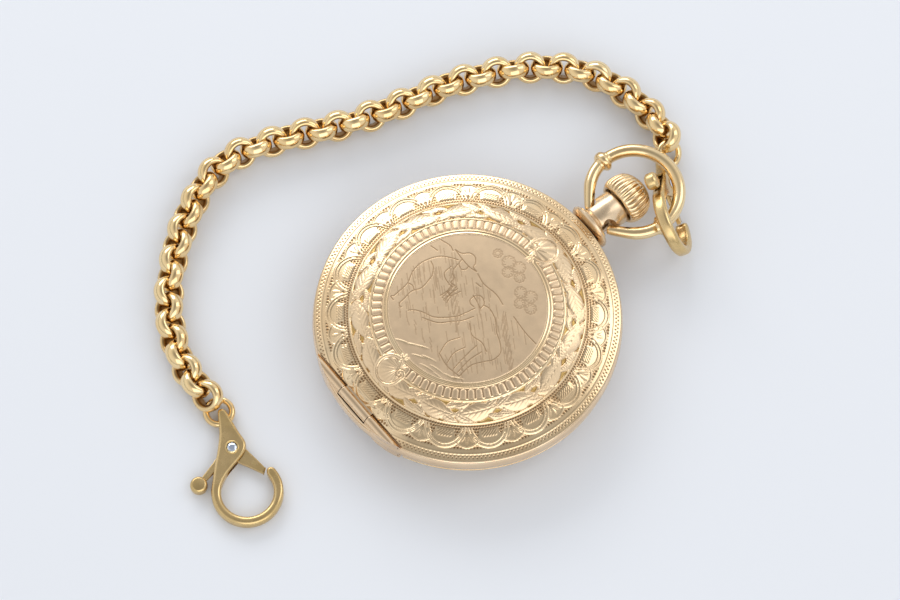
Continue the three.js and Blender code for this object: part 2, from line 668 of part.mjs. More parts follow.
// A spade hand along +X: hub, thin stem, heart and tip, with its tail.
function hand({ length, hub, hole, width, heart, tail, low, high }) {
  const outline = [
    [-tail, -width], [length * 0.5, -width * 0.8], [length * 0.62, -heart], [length * 0.75, -heart * 0.55],
    [length * 0.82, -width], [length, 0], [length * 0.82, width], [length * 0.75, heart * 0.55],
    [length * 0.62, heart], [length * 0.5, width * 0.8], [-tail, width],
  ];
  return cut(join(plate(outline, low, high), disc(hub, low, high, 16)), disc(hole, low - 1, high + 1, 12));
}

const hourHand = hand({
  length: 10.5, hub: 1.9, hole: 1.3, width: 0.35, heart: 1.15, tail: 0.5, low: 8.7, high: 8.88,
});
const minuteHand = hand({
  length: 15.8, hub: 1.4, hole: 0.78, width: 0.32, heart: 0.8, tail: 0.5, low: 9.22, high: 9.38,
});
const secondsHand = hand({
  length: 3.9, hub: 0.65, hole: 0.35, width: 0.12, heart: 0.2, tail: 1.6, low: 8.58, high: 8.7,
});

add("dial", dial(), enamel);
add("cannon_pinion", cannonPinion(), steel);
add("minute_wheel", minuteWheel(), steel, [...MINUTE_WHEEL, 0]);
add("hour_wheel", hourWheel(), gilt);
// The hands show about ten past ten, with XII towards -X and III towards the pendant.
const hourMesh = add("hour_hand", hourHand, blueSteel);
hourMesh.rotation.z = turn(180 + 55);
const minuteMesh = add("minute_hand", minuteHand, blueSteel);
minuteMesh.rotation.z = turn(180 - 60);
const secondsMesh = add("seconds_hand", secondsHand, blueSteel, [...FOURTH, 0]);
secondsMesh.rotation.z = turn(-30);

// ---------------------------------------------------------------- chain and clasps

// The chain's centre line, from the ring on the watch's clasp to the ring on the free clasp.
const CHAIN_ROUTE = [
  [-6.2, 49.7], [-8.2, 49.9], [-10.5, 49.9], [-16.5, 49.2], [-22, 47.3], [-26, 44.6], [-29, 41.5],
  [-31.4, 38.3], [-33.4, 34.8], [-35.3, 30.9], [-37, 26.8], [-38.3, 22.4], [-39.5, 17.8],
  [-40.8, 13.4], [-42.3, 9.1], [-44.1, 5], [-46, 1.1], [-47.9, -3], [-49.4, -7.1], [-50.3, -11],
  [-50.2, -15], [-49.1, -18.9], [-47, -23.3], [-44.3, -27.6], [-41.5, -31.1], [-38.6, -34.2],
  [-35.3, -36.9], [-32, -38.9], [-28.6, -40.4], [-24.9, -41.4], [-21.8, -41.7], [-18.9, -41.8],
];

function chainRun() {
  const points = CHAIN_ROUTE.map(([x, y]) => new THREE.Vector3(x, y, CHAIN_Z));
  return bar(new THREE.CatmullRomCurve3(points), CHAIN_R, 36, 8);
}

// Everything on a clasp lies in its own frame: lug at the origin, hook towards -Y, faces at +-Z.
function claspBody(ringTilt) {
  const half = CLASP_T / 2;
  const outline = [
    ...arc([0.35, 0.1], 0.85, 10, 170, 4),
    [-0.36, 0], [0.05, -3.5], [-0.2, -6.6], [-0.7, -9.4], [-1.15, -11.8],
    ...arc(CLASP_HOOK, 6.1, 170, 408, 18), ...arc(CLASP_HOOK, 4.45, 410, 160, 16),
    [1.6, -10.8], [3.2, -8.6], [3.9, -7.4], [4.5, -5.7], [4.5, -4.9], [3.9, -4],
  ];
  const room = 0.62; // half the width of the slot for the lever
  const [px, py] = CLASP_PIVOT;
  const armSlot = plate([CLASP_PIVOT, ...arc(CLASP_PIVOT, 7, 165, 250, 5)], -room, room);
  const tipSlot = plate([CLASP_PIVOT, ...arc(CLASP_PIVOT, 6, -100, 5, 4)], -room, room);
  const rootSlot = plate([CLASP_PIVOT, ...arc(CLASP_PIVOT, 3.2, 245, 265, 2)], -room, room);
  const middle = disc(2.1, -room, room, 16).translate(px, py, 0);
  const pinHole = disc(0.75, -2, 0.5, 12).translate(px, py, 0);
  const setting = disc(1.25, 0.3, 2, 16).translate(px, py, 0);
  const ringRoom = torus(RING_R, RING_WIRE + 0.25)
    .translate(0, RING_R, 0)
    .rotateX(turn(ringTilt))
    .translate(...RING_HOLE);
  return cut(plate(outline, -half, half), armSlot, tipSlot, rootSlot, middle, pinHole, setting, ringRoom);
}

function torus(radius, wire, segments = 16, sides = 6) {
  return turnedRing(arc([radius, 0], wire, 0, 360 - 360 / sides, sides - 1), segments);
}

// The sprung lever that closes the hook, with its thumb piece, about the pivot at the origin.
function claspLever() {
  const half = 0.38;
  const tipOutline = [[0.4, 1.2], [1.5, 0.7], [5.5, -3.25], [5.25, -4.3], [1, -2.4], [-0.6, -1.2]];
  const tip = plate(tipOutline, -half, half);
  const arm = plate([[-0.2, -1.2], [-4.7, -6.1], [-5.3, -5.6], [-1.3, 0.2]], -half, half);
  const thumb = disc(1.5, -1, 1, 14).translate(-5.5, -6.5, 0);
  const boss = disc(1.5, -half, half, 16);
  return cut(join(tip, arm, thumb, boss), disc(0.7, -1, 1, 12));
}

function claspStone() {
  return turned([[0, 0.55], [0.95, 0.95], [0.6, 1.2], [0, 1.2]], 12);
}

// A clasp as a group in its own frame, placed by its lug and two directions, with its end ring.
function clasp(name, ringName, ringTilt, lug, alongY, faceZ) {
  const group = new THREE.Group();
  const y = new THREE.Vector3(...alongY).normalize();
  const z = new THREE.Vector3(...faceZ).projectOnPlane(y).normalize();
  const x = new THREE.Vector3().crossVectors(y, z);
  group.quaternion.setFromRotationMatrix(new THREE.Matrix4().makeBasis(x, y, z));
  group.position.set(...lug);
  const [px, py] = CLASP_PIVOT;
  add(name + "_body", claspBody(ringTilt), claspGold, [0, 0, 0], group);
  add(name + "_lever", claspLever(), claspGold, [px, py, 0], group);
  add(name + "_pin", disc(0.45, -1.05, 0.4, 10), claspGold, [px, py, 0], group);
  add(name + "_stone", claspStone(), glass, [px, py, 0], group);
  const ring = torus(RING_R, RING_WIRE).translate(0, RING_R, 0).rotateX(turn(ringTilt));
  add(ringName, ring, chainGold, RING_HOLE, group);
  part.add(group);
}

add("chain_run", chainRun(), chainGold);

clasp("clasp_a", "end_ring_a", 45, [-3.34, 46.32, 1.56], [-0.592, 0.555, -0.584], [0.395, 0.832, 0.39]);
clasp("clasp_b", "end_ring_b", 0, [-15.16, -41.9, CLASP_T / 2 + 0.05], [-0.771, 0.637, 0], [0, 0, 1]);

export default part;
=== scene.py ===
"""Hunter pocket watch and chain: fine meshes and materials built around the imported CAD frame.

Lengths in the modelling code are millimetres in the frame's axes. mesh_piece() turns them to metres.
"""

import json
import math

import bpy
import bmesh
import numpy as np
from mathutils import Matrix, Vector
from mathutils.kdtree import KDTree


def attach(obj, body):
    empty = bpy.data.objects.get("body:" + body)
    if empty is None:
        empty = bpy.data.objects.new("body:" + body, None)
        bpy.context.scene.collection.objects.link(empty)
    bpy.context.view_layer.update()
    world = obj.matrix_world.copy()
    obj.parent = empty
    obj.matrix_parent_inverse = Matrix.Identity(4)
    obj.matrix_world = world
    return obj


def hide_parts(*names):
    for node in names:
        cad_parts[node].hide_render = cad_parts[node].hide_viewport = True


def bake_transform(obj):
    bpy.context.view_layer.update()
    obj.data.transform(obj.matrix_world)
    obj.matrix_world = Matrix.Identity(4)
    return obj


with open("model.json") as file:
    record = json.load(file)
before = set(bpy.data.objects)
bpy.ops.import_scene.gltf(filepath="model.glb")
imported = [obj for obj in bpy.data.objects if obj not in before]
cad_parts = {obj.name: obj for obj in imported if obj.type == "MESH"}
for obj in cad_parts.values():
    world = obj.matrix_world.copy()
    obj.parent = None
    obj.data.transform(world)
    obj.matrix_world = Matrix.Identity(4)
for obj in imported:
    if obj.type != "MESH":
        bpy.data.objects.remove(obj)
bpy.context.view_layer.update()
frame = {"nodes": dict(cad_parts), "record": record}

MM = 0.001
TAU = 2 * math.pi
MID_Z = 6.5  # middle of the case, and height of the winding stem


def circle(count):
    """Angles spread evenly round a full turn."""
    return np.arange(count) * TAU / count


def add_object(name, data):
    new = bpy.data.objects.new(name, data)
    bpy.context.collection.objects.link(new)
    return new


# ---------------- camera, floor, lights

VIEW_AZIMUTH = math.radians(50.4)
VIEW_ELEVATION = math.radians(69)
LENS = 170.0
SENSOR = 36
PICTURE_WIDTH = 152.5424  # mm across the picture, at the case's middle
SIDE_SHIFT = -2.97  # mm from the case's middle to the picture's middle
UP_SHIFT = 3.56

SIDE = Vector((math.cos(VIEW_AZIMUTH), math.sin(VIEW_AZIMUTH), 0))
BACK = Vector((
    math.sin(VIEW_AZIMUTH) * math.cos(VIEW_ELEVATION),
    -math.cos(VIEW_AZIMUTH) * math.cos(VIEW_ELEVATION),
    math.sin(VIEW_ELEVATION),
))
PICTURE_UP = BACK.cross(SIDE)


def make_camera():
    data = bpy.data.cameras.new("camera")
    data.lens = LENS
    data.sensor_width = SENSOR
    data.clip_start = 0.01
    data.clip_end = 20
    camera = add_object("camera", data)
    distance = LENS / SENSOR * PICTURE_WIDTH
    target = Vector((0, 0, MID_Z)) + SIDE * SIDE_SHIFT + PICTURE_UP * UP_SHIFT
    turn = Matrix((SIDE, PICTURE_UP, BACK)).transposed().to_4x4()
    camera.matrix_world = Matrix.Translation((target + BACK * distance) * MM) @ turn
    bpy.context.scene.camera = camera


def area_light(name, direction, distance, size, power):
    """A soft box that faces the watch from direction, given as side, up the picture and height."""
    data = bpy.data.lights.new(name, "AREA")
    data.shape = "RECTANGLE"
    data.size, data.size_y = size
    data.energy = power
    along = Vector((-SIDE.y, SIDE.x, 0))
    way = (SIDE * direction[0] + along * direction[1] + Vector((0, 0, direction[2]))).normalized()
    turn = way.to_track_quat("Z", "Y").to_matrix().to_4x4()
    add_object(name, data).matrix_world = Matrix.Translation(way * distance) @ turn


def make_floor():
    bpy.ops.mesh.primitive_plane_add(size=4)
    floor = bpy.context.object
    floor.name = "floor"
    material, _, shader = new_material("floor_paper")
    shader.inputs["Base Color"].default_value = (0.80, 0.83, 0.88, 1)
    shader.inputs["Roughness"].default_value = 0.6
    shader.inputs["Specular IOR Level"].default_value = 0.25
    floor.data.materials.append(material)


def make_world():
    """A pale studio: bright walls, a greyer ceiling, and a dark strip along the horizon."""
    world = bpy.data.worlds.new("studio")
    world.use_nodes = True
    bpy.context.scene.world = world
    tree = world.node_tree
    coords = tree.nodes.new("ShaderNodeTexCoord")
    split = tree.nodes.new("ShaderNodeSeparateXYZ")
    tree.links.new(coords.outputs["Generated"], split.inputs[0])
    ramp = tree.nodes.new("ShaderNodeValToRGB")
    stops = ramp.color_ramp.elements
    horizon, zenith = stops
    horizon.color = (0.12, 0.12, 0.12, 1)
    zenith.color = (0.38, 0.38, 0.38, 1)
    stops.new(0.10).color = (0.85, 0.87, 0.90, 1)
    stops.new(0.42).color = (1.0, 1.02, 1.06, 1)
    stops.new(0.60).color = (0.95, 0.94, 0.93, 1)
    stops.new(0.80).color = (0.80, 0.80, 0.81, 1)
    tree.links.new(split.outputs["Z"], ramp.inputs[0])
    tree.links.new(ramp.outputs[0], tree.nodes["Background"].inputs["Color"])
    tree.nodes["Background"].inputs["Strength"].default_value = 0.86


# ---------------- materials


def node(tree, kind, inputs=(), **settings):
    """A new node; inputs maps socket names or numbers to values or to other nodes' sockets."""
    new = tree.nodes.new(kind)
    for key, value in settings.items():
        setattr(new, key, value)
    for key, value in dict(inputs).items():
        if isinstance(value, bpy.types.NodeSocket):
            tree.links.new(value, new.inputs[key])
        else:
            new.inputs[key].default_value = value
    return new


def object_coords(tree, stretch=(1, 1, 1)):
    """Object coordinates in millimetres, stretched for brushed grain."""
    coords = tree.nodes.new("ShaderNodeTexCoord")
    scale = [1000 * s for s in stretch]
    return node(tree, "ShaderNodeMapping", {0: coords.outputs["Object"], "Scale": scale}).outputs[0]


def mix_colour(tree, share, first, second):
    mix = node(tree, "ShaderNodeMix", data_type="RGBA")
    for socket, value in ((mix.inputs[0], share), (mix.inputs[6], first), (mix.inputs[7], second)):
        if isinstance(value, bpy.types.NodeSocket):
            tree.links.new(value, socket)
        elif socket == mix.inputs[0]:
            socket.default_value = value
        else:
            socket.default_value = (*value, 1)
    return mix.outputs[2]


def map_range(tree, value, low, high, to_low, to_high):
    inputs = {0: value, 1: low, 2: high, 3: to_low, 4: to_high}
    return node(tree, "ShaderNodeMapRange", inputs).outputs[0]


def attribute(tree, name):
    return node(tree, "ShaderNodeAttribute", attribute_name=name).outputs["Fac"]


def noise(tree, coords, scale, detail):
    return node(tree, "ShaderNodeTexNoise", {0: coords, "Scale": scale, "Detail": detail}).outputs[0]


def added(tree, share, amount, value):
    """The value with share times amount on top."""
    inputs = {0: share, 1: amount, 2: value}
    return node(tree, "ShaderNodeMath", inputs, operation="MULTIPLY_ADD").outputs[0]


def new_material(name):
    material = bpy.data.materials.new(name)
    material.use_nodes = True
    return material, material.node_tree, material.node_tree.nodes["Principled BSDF"]


def metal(name, light, deep, roughness, grain, grain_scale, stretch=(1, 1, 1), masks=None):
    """Worn metal: colour drifts from light to deep, roughness varies, and fine marks raise the surface.

    grain is the height of the marks in mm. masks(tree, colour, roughness) adds the tones of a mesh's masks.
    """
    material, tree, shader = new_material(name)
    shader.inputs["Metallic"].default_value = 1
    coords = object_coords(tree)
    drift = noise(tree, coords, 0.16, 3)
    smudge = noise(tree, coords, 0.6, 4)
    marks = noise(tree, object_coords(tree, stretch), grain_scale, 5)
    colour = mix_colour(tree, map_range(tree, drift, 0.35, 0.65, 0, 1), light, deep)
    rough = map_range(tree, smudge, 0.3, 0.7, roughness * 0.8, roughness * 1.25)
    if masks:
        colour, rough = masks(tree, colour, rough)
    bump = node(tree, "ShaderNodeBump", {"Height": marks, "Strength": 1.0, "Distance": grain * MM})
    tree.links.new(colour, shader.inputs["Base Color"])
    tree.links.new(rough, shader.inputs["Roughness"])
    tree.links.new(bump.outputs[0], shader.inputs["Normal"])
    return material


def lid_masks(tree, colour, rough):
    """The lid's tones: silvery satin, stippled yellow ground, and dark brown painted shade in the cut
    lines, pits, bead gaps and round the raised ornament.
    """
    satin = attribute(tree, "satin")
    ground = attribute(tree, "ground")
    colour = mix_colour(tree, satin, colour, (0.82, 0.62, 0.41))
    colour = mix_colour(tree, ground, colour, (0.62, 0.41, 0.14))
    # painted shade: dark brown where the cut mask marks engraved lines, pits and the feet of the relief
    colour = mix_colour(tree, attribute(tree, "cut"), colour, (0.30, 0.165, 0.07))
    return colour, added(tree, ground, 0.2, added(tree, satin, 0.26, rough))


def painted_inner_shade(tree, colour, rough):
    """Painted shade: dark brown painted on the inner faces of the chain's links and in the crown's grooves,
    with a rougher surface there.
    """
    inside = attribute(tree, "inside")
    # the dark brown (0.30, 0.16, 0.05) is painted shade
    return mix_colour(tree, inside, colour, (0.30, 0.16, 0.05)), added(tree, inside, 0.2, rough)


def stripes(tree, colour, _):
    """Broad soft stripes across the bridges, as a damaskeened finish has, duller in their dark half."""
    coords = object_coords(tree, (1, 0.35, 0))
    wave = node(tree, "ShaderNodeTexWave", {0: coords, "Scale": 0.28, "Distortion": 0.0}).outputs[1]
    return mix_colour(tree, wave, colour, (0.46, 0.45, 0.43)), map_range(tree, wave, 0, 1, 0.2, 0.36)


def plain_material(name, colour, roughness, **sockets):
    """Enamel, ink or glass, slightly uneven. sockets sets further inputs of the shader."""
    material, tree, shader = new_material(name)
    for key, value in sockets.items():
        shader.inputs[key.replace("_", " ")].default_value = value
    drift = noise(tree, object_coords(tree), 0.5, 3)
    darker = tuple(c * 0.93 for c in colour)
    mixed = mix_colour(tree, map_range(tree, drift, 0.3, 0.7, 0, 1), colour, darker)
    rough = map_range(tree, drift, 0.3, 0.7, roughness * 0.8, roughness * 1.3)
    tree.links.new(mixed, shader.inputs["Base Color"])
    tree.links.new(rough, shader.inputs["Roughness"])
    bump = node(tree, "ShaderNodeBump", {"Height": drift, "Strength": 0.3, "Distance": 0.01 * MM})
    tree.links.new(bump.outputs[0], shader.inputs["Normal"])
    return material


METALS = {
    "lid_gold": ((0.96, 0.75, 0.48), (0.92, 0.67, 0.39), 0.16, 0.004, 6, (1, 1, 1), lid_masks),
    "pink_gold": ((0.92, 0.71, 0.48), (0.86, 0.63, 0.40), 0.17, 0.002, 4),
    # crown_gold and chain_gold take painted shade in the crown's grooves and on the links' inner faces
    "crown_gold": ((0.92, 0.70, 0.42), (0.86, 0.62, 0.34), 0.15, 0.001, 4, (1, 1, 1), painted_inner_shade),
    "pale_gold": ((0.92, 0.72, 0.42), (0.87, 0.64, 0.34), 0.18, 0.002, 5),
    "satin_gold": ((0.86, 0.68, 0.47), (0.80, 0.61, 0.40), 0.28, 0.002, 5),
    "chain_gold": ((0.95, 0.73, 0.40), (0.90, 0.64, 0.31), 0.13, 0.002, 4, (1, 1, 1), painted_inner_shade),
    "clasp_gold": ((0.76, 0.56, 0.28), (0.68, 0.49, 0.22), 0.25, 0.0008, 9, (1, 1, 0.4)),
    "clasp_edge": ((0.88, 0.66, 0.32), (0.80, 0.56, 0.24), 0.14, 0.002, 5),
    "steel": ((0.60, 0.60, 0.60), (0.52, 0.52, 0.53), 0.22, 0.01, 4, (1, 0.2, 1)),
    "blued_steel": ((0.03, 0.05, 0.22), (0.05, 0.05, 0.16), 0.16, 0.006, 4),
    "gilt": ((0.85, 0.62, 0.28), (0.78, 0.54, 0.22), 0.34, 0.02, 9),
    "nickel": ((0.68, 0.66, 0.62), (0.62, 0.60, 0.57), 0.26, 0.01, 5, (1, 1, 1), stripes),
    "stone": ((0.72, 0.80, 0.95), (0.55, 0.66, 0.90), 0.04, 0.0, 1),
}
MATERIALS = {name: metal(name, *values) for name, values in METALS.items()}
MATERIALS["enamel"] = plain_material("enamel", (0.90, 0.89, 0.85), 0.12, Coat_Weight=0.5)
MATERIALS["ink"] = plain_material("ink", (0.015, 0.015, 0.018), 0.3)
MATERIALS["crystal"] = plain_material("crystal", (0.97, 0.98, 0.98), 0.03, Transmission_Weight=1.0, IOR=1.1)


# ---------------- mesh helpers


def mesh_piece(name, points, faces, body, slot, material=None, replaces=None, masks=None, crease=40):
    """One named object on a body, from points in millimetres and lists of corner numbers.

    replaces names the CAD node that it stands for. masks are named values, one for each point.
    """
    mesh = new_mesh(name, np.asarray(points, dtype=np.float32) * MM, faces)
    for key, values in (masks or {}).items():
        layer = mesh.attributes.new(key, "FLOAT", "POINT")
        layer.data.foreach_set("value", np.asarray(values, dtype=np.float32))
    mesh.shade_smooth()
    if crease < 180:
        mesh.set_sharp_from_angle(angle=math.radians(crease))
    mesh.materials.append(MATERIALS[material or slot])
    piece = add_object(name, mesh)
    if body:
        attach(piece, body)
    if replaces:
        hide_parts(replaces)
    return piece


def new_mesh(name, points, faces):
    """A closed mesh whose faces all face out, with the many-sided ones split."""
    mesh = bpy.data.meshes.new(name)
    mesh.from_pydata(points.tolist(), [], [list(map(int, face)) for face in faces])
    mesh.validate()
    work = bmesh.new()
    work.from_mesh(mesh)
    many_sided = [face for face in work.faces if len(face.verts) > 4]
    bmesh.ops.triangulate(work, faces=many_sided, ngon_method="EAR_CLIP")
    bmesh.ops.recalc_face_normals(work, faces=work.faces)
    work.to_mesh(mesh)
    work.free()
    return mesh


def quads_between(index):
    """The faces of a grid of corner numbers."""
    return np.stack([index[:-1, :-1], index[:-1, 1:], index[1:, 1:], index[1:, :-1]], -1).reshape(-1, 4)


def skin(rows, closed=False, capped=False):
    """Points and faces over rows of points, each row a closed ring.

    closed joins the last row to the first, and capped closes both ends with one face each.
    """
    rows = np.asarray(rows, dtype=float)
    count, columns = rows.shape[:2]
    index = np.arange(count * columns).reshape(count, columns)
    around = np.vstack([index, index[:1]]) if closed else index
    quads = quads_between(np.hstack([around, around[:, :1]]))
    points = rows.reshape(-1, 3)
    if not capped:
        return points, quads
    return points, quads.tolist() + [index[0][::-1].tolist(), index[-1].tolist()]


def joined(*parts):
    """Several (points, faces) as one."""
    points, faces = [], []
    start = 0
    for some_points, some_faces in parts:
        points.append(some_points)
        faces.extend([int(corner) + start for corner in face] for face in some_faces)
        start += len(some_points)
    return np.vstack(points), faces


def lathe(profile, columns=96, axis="z", centre=(0, 0, 0), flutes=None):
    """A closed profile of (radius, height) turned about an axis through centre."""
    turn = circle(columns)
    rows = []
    for r, h in profile:
        radius = flutes(r, h, turn) if flutes else np.full(columns, float(r))
        a, b = radius * np.cos(turn), radius * np.sin(turn)
        height = np.full(columns, float(h))
        rows.append(np.stack((a, b, height) if axis == "z" else (b, height, a), -1) + centre)
    return skin(rows, closed=True)


def rounded(profile, radius=0.15, steps=3):
    """The closed profile with each corner rounded off."""
    result = []
    count = len(profile)
    for i, corner in enumerate(profile):
        p = np.array(corner, dtype=float)
        before = np.array(profile[i - 1], dtype=float) - p
        after = np.array(profile[(i + 1) % count], dtype=float) - p
        reach = min(radius, 0.45 * np.linalg.norm(before), 0.45 * np.linalg.norm(after))
        start = p + before / np.linalg.norm(before) * reach
        end = p + after / np.linalg.norm(after) * reach
        for t in np.linspace(0, 1, steps + 1):
            result.append(tuple((1 - t) ** 2 * start + 2 * t * (1 - t) * p + t ** 2 * end))
    return result


def through(points, steps=8, closed=False):
    """A smooth line through given points (Catmull-Rom)."""
    p = np.asarray(points, dtype=float)
    if closed:
        p = np.vstack([p[-1:], p, p[:2]])
    else:
        p = np.vstack([2 * p[0] - p[1], p, 2 * p[-1] - p[-2]])
    line = []
    for i in range(1, len(p) - 2):
        for t in np.arange(steps) / steps:
            line.append(0.5 * (
                2 * p[i] + (p[i + 1] - p[i - 1]) * t
                + (2 * p[i - 1] - 5 * p[i] + 4 * p[i + 1] - p[i + 2]) * t ** 2
                + (3 * p[i] - p[i - 1] - 3 * p[i + 1] + p[i + 2]) * t ** 3
            ))
    if not closed:
        line.append(p[-2])
    return np.array(line)


def even(line, spacing):
    """Points a steady distance apart along a line."""
    steps = np.linalg.norm(np.diff(line, axis=0), axis=1)
    along = np.concatenate([[0], np.cumsum(steps)])
    count = max(2, int(round(along[-1] / spacing)) + 1)
    at = np.linspace(0, along[-1], count)
    return np.stack([np.interp(at, along, line[:, k]) for k in range(line.shape[1])], -1)


def softened(line, passes, closed=True):
    """A line with its small kinks smoothed out. An open line keeps its ends."""
    for _ in range(passes):
        mean = (np.roll(line, 1, axis=0) + 2 * line + np.roll(line, -1, axis=0)) / 4
        if not closed:
            mean[[0, -1]] = line[[0, -1]]
        line = mean
    return line


def arc(centre, radius, start, end, steps):
    """Points of an arc in a plane, from start to end in degrees."""
    turn = np.radians(np.linspace(start, end, steps + 1))
    return [(centre[0] + radius * math.cos(t), centre[1] + radius * math.sin(t)) for t in turn]


def slab(outline, low, high, edge, steps=4):
    """A flat plate with the outline and rounded edges, whose radius may differ from point to point."""
    line = np.asarray(outline, dtype=float)
    edge = np.broadcast_to(np.asarray(edge, dtype=float), (len(line),))
    ahead = np.roll(line, -1, axis=0) - line
    ahead /= np.linalg.norm(ahead, axis=1)[:, None]
    normal = np.stack([ahead[:, 1], -ahead[:, 0]], -1)
    if np.sum(line[:, 0] * np.roll(line[:, 1], -1) - line[:, 1] * np.roll(line[:, 0], -1)) < 0:
        normal = -normal
    normal = normal + np.roll(normal, 1, axis=0)
    normal /= np.linalg.norm(normal, axis=1)[:, None]
    rows = []
    quarter = np.linspace(0, math.pi / 2, steps + 1)
    levels = [(edge * (1 - math.cos(t)), low + edge * (1 - math.sin(t))) for t in quarter[::-1]]
    levels += [(edge * (1 - math.cos(t)), high - edge * (1 - math.sin(t))) for t in quarter]
    levels = [(edge + 0.04, low + 0 * edge), *levels, (edge + 0.04, high + 0 * edge)]
    for inset, z in levels:
        rows.append(np.column_stack([line - normal * inset[:, None], z]))
    return skin(rows, capped=True)


def placed(part, origin, x_axis, y_axis):
    """The part moved from a local frame to the watch's frame."""
    points, faces = part
    x, y = np.array(x_axis), np.array(y_axis)
    z = np.cross(x, y)
    return points @ np.stack([x, y, z]) + np.array(origin), faces


def tube(line, radii, sides=24, closed=False):
    """A round bar along a line, with its own radius at each point."""
    line = np.asarray(line, dtype=float)
    if closed:
        ahead = np.roll(line, -1, axis=0) - np.roll(line, 1, axis=0)
    else:
        ahead = np.gradient(line, axis=0)
    ahead /= np.linalg.norm(ahead, axis=1)[:, None]
    flat = np.linalg.svd(line - line.mean(axis=0))[2][2]
    side = np.cross(ahead, flat)
    side /= np.linalg.norm(side, axis=1)[:, None]
    turn = circle(sides)[None, :, None]
    radii = np.broadcast_to(np.asarray(radii, dtype=float), (len(line),))
    ring = side[:, None] * np.cos(turn) + flat * np.sin(turn)
    rows = line[:, None] + radii[:, None, None] * ring
    return skin(rows, closed=closed, capped=not closed)


def carved(part, *cutters):
    """The part as (points, faces) with other closed parts cut out of it."""
    body = add_object("body", new_mesh("body", *part))
    for cutter in cutters:
        tool = add_object("tool", new_mesh("tool", *cutter))
        modifier = body.modifiers.new("cut", "BOOLEAN")
        modifier.operation = "DIFFERENCE"
        modifier.solver = "EXACT"
        modifier.object = tool
        depsgraph = bpy.context.evaluated_depsgraph_get()
        result = bpy.data.meshes.new_from_object(body.evaluated_get(depsgraph))
        body.modifiers.clear()
        body.data = result
        bpy.data.objects.remove(tool)
    points = np.array([vertex.co for vertex in body.data.vertices])
    faces = [list(face.vertices) for face in body.data.polygons]
    bpy.data.objects.remove(body)
    return points, faces


# ---------------- chain

CHAIN_ROUTE = [
    (-6.2, 49.7), (-8.2, 49.9), (-10.5, 49.9), (-16.5, 49.2), (-22, 47.3), (-26, 44.6), (-29, 41.5),
    (-31.4, 38.3), (-33.4, 34.8), (-35.3, 30.9), (-37, 26.8), (-38.3, 22.4), (-39.5, 17.8), (-40.8, 13.4),
    (-42.3, 9.1), (-44.1, 5), (-46, 1.1), (-47.9, -3), (-49.4, -7.1), (-50.3, -11), (-50.2, -15),
    (-49.1, -18.9), (-47, -23.3), (-44.3, -27.6), (-41.5, -31.1), (-38.6, -34.2), (-35.3, -36.9),
    (-32, -38.9), (-28.6, -40.4), (-24.9, -41.4), (-21.8, -41.7), (-18.9, -41.8),
]
ROUTE_STEPS = 8  # from one point of the route to the next
CHAIN_Z = 2.6  # middle of the chain's tube
LINK_Z = 2.65  # middle of a link that rests on the floor at a slant
LINK_R = 2.2  # to the middle of the link's wire
LINK_PITCH = 2.96
LINK_COLUMNS = 40
# half of the wire's section: outward from its middle, and along the link's axis
HALF_WIRE = [(-0.62, 0.25), (-0.62, 0.66), (-0.53, 0.92), (-0.35, 1.1), (-0.1, 1.18), (0.2, 1.1),
             (0.44, 0.86), (0.6, 0.48), (0.65, 0)]
LINK_WIRE = HALF_WIRE + [(r, -h) for r, h in HALF_WIRE[-2::-1]]


def link(centre, ahead, lean):
    """One round link of half-round wire, flat inside, turned by lean degrees about the chain's line."""
    ahead = np.array(ahead) / np.linalg.norm(ahead)
    side = np.cross((0, 0, 1), ahead)
    side /= np.linalg.norm(side)
    up = np.cross(ahead, side)
    lean = math.radians(lean)
    across = side * math.cos(lean) + up * math.sin(lean)
    face = np.cross(ahead, across)
    turn = circle(LINK_COLUMNS)[:, None]
    out = np.cos(turn) * ahead + np.sin(turn) * across
    rows = [centre + out * (LINK_R + r) + face * h for r, h in LINK_WIRE]
    return skin(rows, closed=True)


def make_chain():
    """The chain, its middle line in metres, and two points on that line."""
    route = through([(x, y, CHAIN_Z) for x, y in CHAIN_ROUTE], ROUTE_STEPS)
    lead_in = [(-4.96, 48.9, 4.0), (-7.7, 49.75, 2.9)]
    lead_out = [(-18.75, -41.62, 2.6)]
    line = through(lead_in + [(x, y, LINK_Z) for x, y in CHAIN_ROUTE[2:-1]] + lead_out, ROUTE_STEPS)
    centres = even(line, LINK_PITCH)
    ahead = np.gradient(centres, axis=0)
    wobble = [5 * math.sin(1.9 * i) + 4 * math.sin(0.7 * i) for i in range(len(centres))]
    leans = [(45 if i % 2 else -45) + wobble[i] for i in range(len(centres))]
    links = [link(*place) for place in zip(centres, ahead, leans)]
    points, faces = joined(*links)
    # inside marks the inner faces of each link's wire, which get painted shade
    inside = np.repeat([float(np.clip((-0.2 - r) / 0.24, 0, 1)) for r, _ in LINK_WIRE], LINK_COLUMNS)
    masks = {"inside": np.tile(inside, len(links))}
    piece = ("chain", points, np.array(faces), None, "chain_gold")
    chain = mesh_piece(*piece, replaces="chain_run", masks=masks)
    return chain, route * MM, route[0] * MM, route[10 * ROUTE_STEPS] * MM


# ---------------- clasps

CLASP_T = 2.2
CLASP_PIVOT = (2.2, -6.1)
CLASP_HOOK = (4.9, -13.8)
RING_R = 2.2
RING_WIRE = 0.55
RING_HOLE = (-0.15, -1.65, 0)


